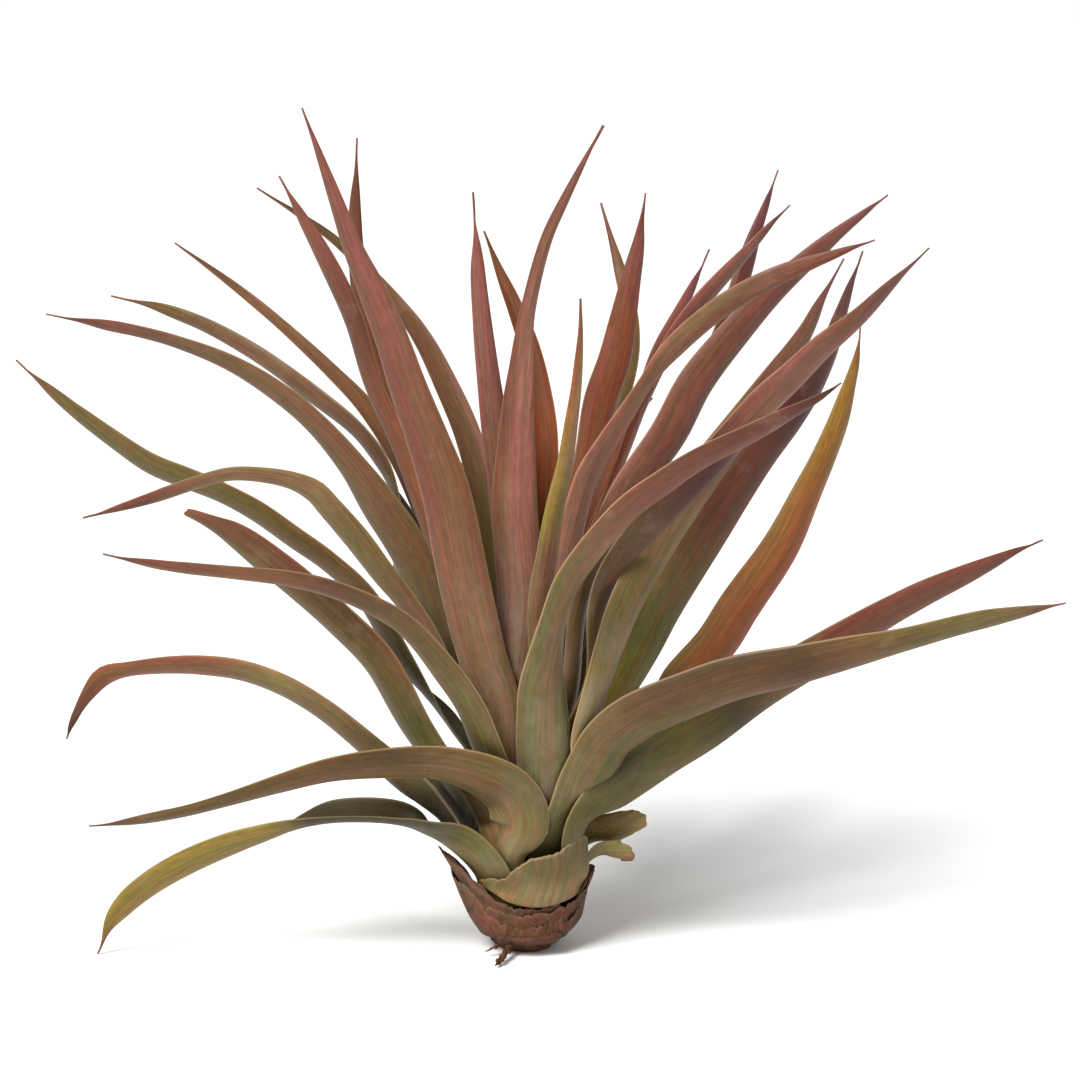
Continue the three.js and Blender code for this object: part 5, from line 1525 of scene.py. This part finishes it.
@dataclass(frozen=True)
class ClaspingSheath:
    """A sheath that clasps the foot without a blade: the node it stands for, its rows and layers.

    A row is an azimuth in degrees, then the radius and height of the lower edge, the waist and the
    rim there, as in the solid.
    """

    node: str
    rows: tuple[Row, ...]
    layers: tuple[Layer, ...]
    skin: Skin = ()
    step: float = 1.5
    stops: int = 18

    MARKS = ("rim", "across", "along", "face")
    TEARS = ((1, 1), (3.3, 0.6), (11, 0.35))
    DEEPEST_TEAR = 0.1
    CORNER = 0.12
    BUCKLE = (0.06, 1.3, 5)
    RIDGE = (0.3, 2.2, 9)
    RIDGE_SHARE = 0.45
    RIM_THINNING = 0.55
    SKIN_VALUES = {"margin": 0.45, "scurf": 0.25, "dry": 0.0, "painted_base_shade": 1.0}

    def edge_points(self, azimuth: float, layer: Layer) -> list[np.ndarray]:
        """The lower edge, the waist and the rim of a layer at an azimuth, as radius and height."""
        table = np.array(self.rows, float)
        foot_r, foot_z, waist_r, waist_z, rim_r, rim_z = (
            np.interp(azimuth, table[:, 0], table[:, k]) for k in range(1, 7)
        )
        lean = (rim_r - waist_r) / max(rim_z - waist_z, 0.5)
        return [
            np.array((foot_r + layer.push, 0, foot_z + layer.drop)),
            np.array((waist_r + layer.push, 0, waist_z + (layer.lift + layer.drop) / 2)),
            np.array((rim_r + layer.push + lean * layer.lift, 0, rim_z + layer.lift)),
        ]

    def add_layer(self, shape: bmesh.types.BMesh, layer: Layer) -> None:
        """Adds a layer to the form as a closed wall.

        Args:
            shape: The form so far.
            layer: The layer.
        """
        marks = {name: shape.verts.layers.float[name] for name in self.MARKS}
        grain = shape.verts.layers.float_vector["grain"]
        count = max(6, round((layer.end - layer.start) / self.step))
        columns = []
        for k in range(count + 1):
            share = k / count
            azimuth = layer.start + (layer.end - layer.start) * share
            points = self.edge_points(azimuth, layer)
            line = SmoothLine(points)
            tall = np.linalg.norm(points[2] - points[0])
            spot = Vector((azimuth * 0.1, layer.seed, 0))
            torn = sum(height * noise.noise(spot * pitch) for pitch, height in self.TEARS)
            corner = smooth(0, self.CORNER, share) * smooth(1, 1 - self.CORNER, share)
            reach = 0.5 + 0.5 * corner + min(self.DEEPEST_TEAR, torn * layer.ragged / tall)
            ring = []
            for j in range(self.stops + 1):
                part = j / self.stops
                r, _, z = line.point(min(1.0, part * reach))
                z += max(0.0, part * reach - 1) * tall
                buckle, ridge = (
                    noise.noise(Vector((azimuth * pitch, part * rise, layer.seed + shift)))
                    for pitch, rise, shift in (self.BUCKLE, self.RIDGE)
                )
                out = (buckle + self.RIDGE_SHARE * ridge) * layer.wobble * (0.35 + part)
                thin = layer.thickness / 2 * (1 - self.RIM_THINNING * smooth(0.7, 1, part))
                thin *= smooth(-0.05, 0.04, min(share, 1 - share))
                for side in (1, -1):
                    vertex = shape.verts.new(around(azimuth, r + out + side * thin, z) * MM)
                    vertex[grain] = Vector((math.radians(azimuth) * r, z, layer.seed))
                    vertex[marks["rim"]] = part
                    vertex[marks["along"]] = part
                    vertex[marks["across"]] = max(part, abs(share * 2 - 1) ** 4) * 0.98
                    vertex[marks["face"]] = -side
                    ring.append(vertex)
            columns.append(ring[0::2] + ring[1::2][::-1])
        for one, other in zip(columns, columns[1:]):
            for j in range(len(one)):
                n = (j + 1) % len(one)
                shape.faces.new((one[j], other[j], other[n], one[n]))
        for end in (columns[0], columns[-1][::-1]):
            half = len(end) // 2
            for j in range(half - 1):
                shape.faces.new((end[j], end[j + 1], end[-2 - j], end[-1 - j]))

    def build(self, material: bpy.types.Material) -> bpy.types.Object:
        """Makes the sheath as closed layers, dressed."""
        shape = bmesh.new()
        shape.verts.layers.float_vector.new("grain")
        for name in self.MARKS:
            shape.verts.layers.float.new(name)
        for layer in self.layers:
            self.add_layer(shape, layer)
        mesh = closed_mesh(shape, self.node + "_form")
        if self.skin:
            self.colour(mesh)
        mesh.materials.append(material)
        smooth_faces(mesh)
        return placed(self.node.replace("_sheath", "_clasp"), mesh)

    def colour(self, mesh: bpy.types.Mesh) -> None:
        """Gives a live sheath the attributes that the leaf skin reads."""
        count = len(mesh.vertices)
        along = np.zeros(count, np.float32)
        mesh.attributes["along"].data.foreach_get("value", along)
        written(mesh, "tone", "FLOAT_COLOR", toned(along, self.skin, 1))
        for name, value in self.SKIN_VALUES.items():
            written(mesh, name, "FLOAT", np.full(count, value))


DRY_SHEATHS = (
    ClaspingSheath(
        "dry_sheath_left",
        rows=(
            (142, 8.7, 4.2, 10.2, 7.6, 11.6, 10.6), (162, 8.7, 4.2, 10.7, 8.8, 14.4, 16),
            (180, 8.7, 4.2, 10.8, 9.6, 17, 20), (196, 8.7, 4.2, 10.9, 9.6, 16.4, 19.8),
            (212, 8.7, 4.2, 10.9, 9.4, 14.6, 17.4), (226, 8.7, 4.2, 10.6, 8.6, 13.1, 14.2),
            (242, 8.8, 4.4, 10.4, 7.6, 11.8, 11), (262, 8.8, 4.4, 10.2, 7.2, 11.4, 10.4),
        ),
        layers=(
            Layer(142, 248, seed=1.3, lift=0.5, ragged=0.3),
            Layer(150, 240, seed=4.1, push=0.3, lift=-4.6, drop=-0.9, ragged=1.2, wobble=0.45),
            Layer(172, 262, seed=6.6, push=-0.35, lift=0.8, ragged=0.4),
        ),
    ),
    ClaspingSheath(
        "dry_sheath_front",
        rows=(
            (218, 8.8, 4.4, 10.7, 8.6, 12.6, 13.2), (232, 8.8, 4.4, 10.4, 7.8, 12, 11.6),
            (248, 8.8, 4.4, 10, 7.2, 11.2, 10.5), (262, 8.8, 4.4, 10, 7, 11, 10),
            (276, 8.8, 4.4, 10, 7, 11, 9.9), (290, 8.8, 4.4, 10.1, 7.2, 11.1, 10.1),
            (301, 8.8, 4.4, 10.3, 7.4, 11.4, 10.5), (312, 8.8, 4.4, 10.4, 7.6, 11.6, 11),
            (326, 8.6, 4.2, 10.4, 7.6, 12, 11.8),
        ),
        layers=(
            Layer(220, 324, seed=7.7, push=0.1, lift=-0.9, ragged=0.8),
            Layer(222, 322, seed=9.2, push=0.3, lift=-3.4, drop=-1.1, ragged=1.1, wobble=0.5),
            Layer(232, 318, seed=10.9, push=-0.4, lift=0.4, ragged=0.6, wobble=0.35),
            Layer(236, 312, seed=12.1, push=0.35, lift=-4.6, drop=-1.9, ragged=1.2, wobble=0.6),
        ),
    ),
    ClaspingSheath(
        "dry_sheath_right",
        rows=(
            (302, 8.5, 4, 10, 6.9, 11.2, 10), (318, 8.2, 3.6, 10.2, 7, 11.6, 10.6),
            (332, 8.1, 3.5, 10.5, 7.6, 13.1, 12.8), (346, 8, 3.4, 10.7, 8.4, 13.7, 15.1),
            (360, 8, 3.4, 10.8, 8.8, 13.9, 15.5), (378, 8.1, 3.4, 10.9, 8.6, 13.8, 14.9),
            (394, 8.4, 3, 10.8, 8, 13, 13), (408, 8.4, 3, 10.2, 6.8, 12, 10.6),
        ),
        layers=(
            Layer(306, 406, seed=12.4, ragged=0.9, wobble=0.4),
            Layer(312, 384, seed=14.9, push=0.25, lift=-4, drop=-0.8, ragged=1.2, wobble=0.5),
            Layer(322, 400, seed=16.1, push=-0.4, lift=0.6, ragged=0.8),
        ),
    ),
    ClaspingSheath(
        "dry_sheath_back",
        rows=(
            (46, 8.3, 3, 10.1, 6.3, 11.4, 9.4), (72, 8.3, 3, 10.8, 8, 13, 14),
            (96, 8.3, 3, 11, 8.4, 13.4, 15.4), (118, 8.3, 3, 10.8, 8, 13, 14),
            (138, 8.3, 3, 10.2, 6.4, 11.6, 9.8), (150, 8.3, 3, 10.2, 6.4, 11.6, 9.8),
        ),
        layers=(
            Layer(46, 140, seed=17.5, ragged=0.9),
            Layer(60, 150, seed=19.8, push=0.3, lift=-3.6, drop=-0.8, ragged=1.2, wobble=0.5),
        ),
    ),
)

CUP = ClaspingSheath(
    "cup_sheath",
    rows=(
        (-136, 11.4, 14.4, 11.9, 15.8, 12.3, 17.2), (-120, 11.2, 13.2, 11.7, 14.8, 12.2, 16.4),
        (-108, 11.3, 12, 11.9, 14.4, 12.6, 17), (-96, 11.4, 11.4, 12.2, 15.2, 13, 19.6),
        (-84, 11.4, 11, 12.4, 16, 13.3, 21.4), (-70, 11.4, 10.9, 12.5, 16.2, 13.4, 21.8),
        (-56, 11.6, 11.3, 12.6, 16.6, 13.5, 22.7), (-44, 11.8, 11.8, 12.8, 17.6, 13.6, 24),
        (-33, 12, 12.4, 12.9, 18.4, 13.7, 25), (-22, 12.1, 13.2, 13, 18, 13.7, 23),
        (-12, 12.2, 13.8, 13, 17.6, 13.6, 20.6),
    ),
    layers=(
        Layer(-138, -13, seed=22.2, ragged=0.5, wobble=0.35, thickness=0.7),
    ),
    skin=(
        (0, Tone.TAUPE), (0.25, Tone.SAND), (0.5, Tone.KHAKI), (0.75, Tone.OLIVE), (1, Tone.OLIVE),
    ),
)


@dataclass
class Rosette:
    """All the leaves and cut ends, dressed."""

    SEED_STEP = 7.3

    blades: LeafBlade = field(default_factory=LeafBlade)

    def grow(self, stem: Rootstock) -> None:
        """Makes every leaf from its plan.

        Args:
            stem: What the leaves grow from.
        """
        skins = {finish: finish.material() for finish in (RED_SKIN, GREEN_SKIN)}
        for number, plan in enumerate((*LEAVES, *STUBS, *FAR_LEAVES)):
            red = "upper" in plan.node or "back" in plan.node
            finish = RED_SKIN if red else GREEN_SKIN
            piece = self.blades.blade(plan, stem, skins[finish], seed=number * self.SEED_STEP)
            settle(piece, finish.slot, plan.node)


def settle(piece: bpy.types.Object, slot: str, *nodes: str) -> None:
    """Hands a piece to the frame and reports it.

    Args:
        piece: The finished piece.
        slot: The record's material slot that its finish comes from; not used.
        *nodes: The CAD nodes that it stands for.
    """
    if nodes:
        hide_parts(*nodes)
    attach(piece, BODY)
    stands_for = ", ".join(nodes) or "nothing"
    log.info("%s: %d faces, stands for %s", piece.name, len(piece.data.polygons), stands_for)


@dataclass
class Studio:
    """A plain pale floor under plain soft light."""

    floor_reach: float = 6.0
    floor_tone: Rgba = (0.93, 0.93, 0.92, 1)
    floor_roughness: float = 0.9
    sky: float = 0.55
    key_place: Point = (-2.2, -3.0, 4.0)
    key_power: float = 420.0
    key_size: float = 2.6
    key_aim: Point = (0, 0, 0.08)

    def build(self) -> None:
        """Makes the floor, the sky and the key light."""
        scene = bpy.context.scene
        scene.view_settings.view_transform = "Standard"
        mesh = bpy.data.meshes.new("floor")
        r = self.floor_reach
        mesh.from_pydata([(-r, -r, 0), (r, -r, 0), (r, r, 0), (-r, r, 0)], [], [(0, 1, 2, 3)])
        material = bpy.data.materials.new("floor")
        material.use_nodes = True
        shader = material.node_tree.nodes["Principled BSDF"]
        shader.inputs["Base Color"].default_value = self.floor_tone
        shader.inputs["Roughness"].default_value = self.floor_roughness
        mesh.materials.append(material)
        floor = bpy.data.objects.new("floor", mesh)
        scene.collection.objects.link(floor)
        world = bpy.data.worlds.new("soft_sky")
        scene.world = world
        world.use_nodes = True
        background = world.node_tree.nodes["Background"]
        background.inputs["Color"].default_value = (1, 1, 1, 1)
        background.inputs["Strength"].default_value = self.sky
        self.lamp("key", self.key_place, self.key_power, self.key_size)

    def lamp(self, name: str, place: Point, power: float, size: float) -> None:
        """Adds a square soft light that faces the plant.

        Args:
            name: Its name.
            place: Where it stands, in metres.
            power: Its power in watts.
            size: Its side in metres.
        """
        data = bpy.data.lights.new(name, "AREA")
        data.energy = power
        data.size = size
        lamp = bpy.data.objects.new(name, data)
        lamp.location = place
        aim = Vector(self.key_aim) - Vector(place)
        lamp.rotation_euler = aim.to_track_quat("-Z", "Y").to_euler()
        bpy.context.scene.collection.objects.link(lamp)


def corners(box: Iterable[Any]) -> list[list[float]]:
    """A box as plain lists of numbers."""
    return [[float(v) for v in corner] for corner in box]


def main() -> None:
    """Builds the plant in order."""
    logging.basicConfig(level=logging.INFO, format="%(name)s: %(message)s")
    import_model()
    VIEW.camera()
    Studio().build()
    stem = Rootstock()
    settle(stem.build(), stem.finish.slot, "rootstock")
    paper = PaperFinish()
    paper_material = paper.material()
    for sheath in DRY_SHEATHS:
        settle(sheath.build(paper_material), paper.slot, sheath.node)
    settle(CUP.build(GREEN_SKIN.material()), GREEN_SKIN.slot, CUP.node)
    Rosette().grow(stem)


if __name__ == "__main__":
    main()
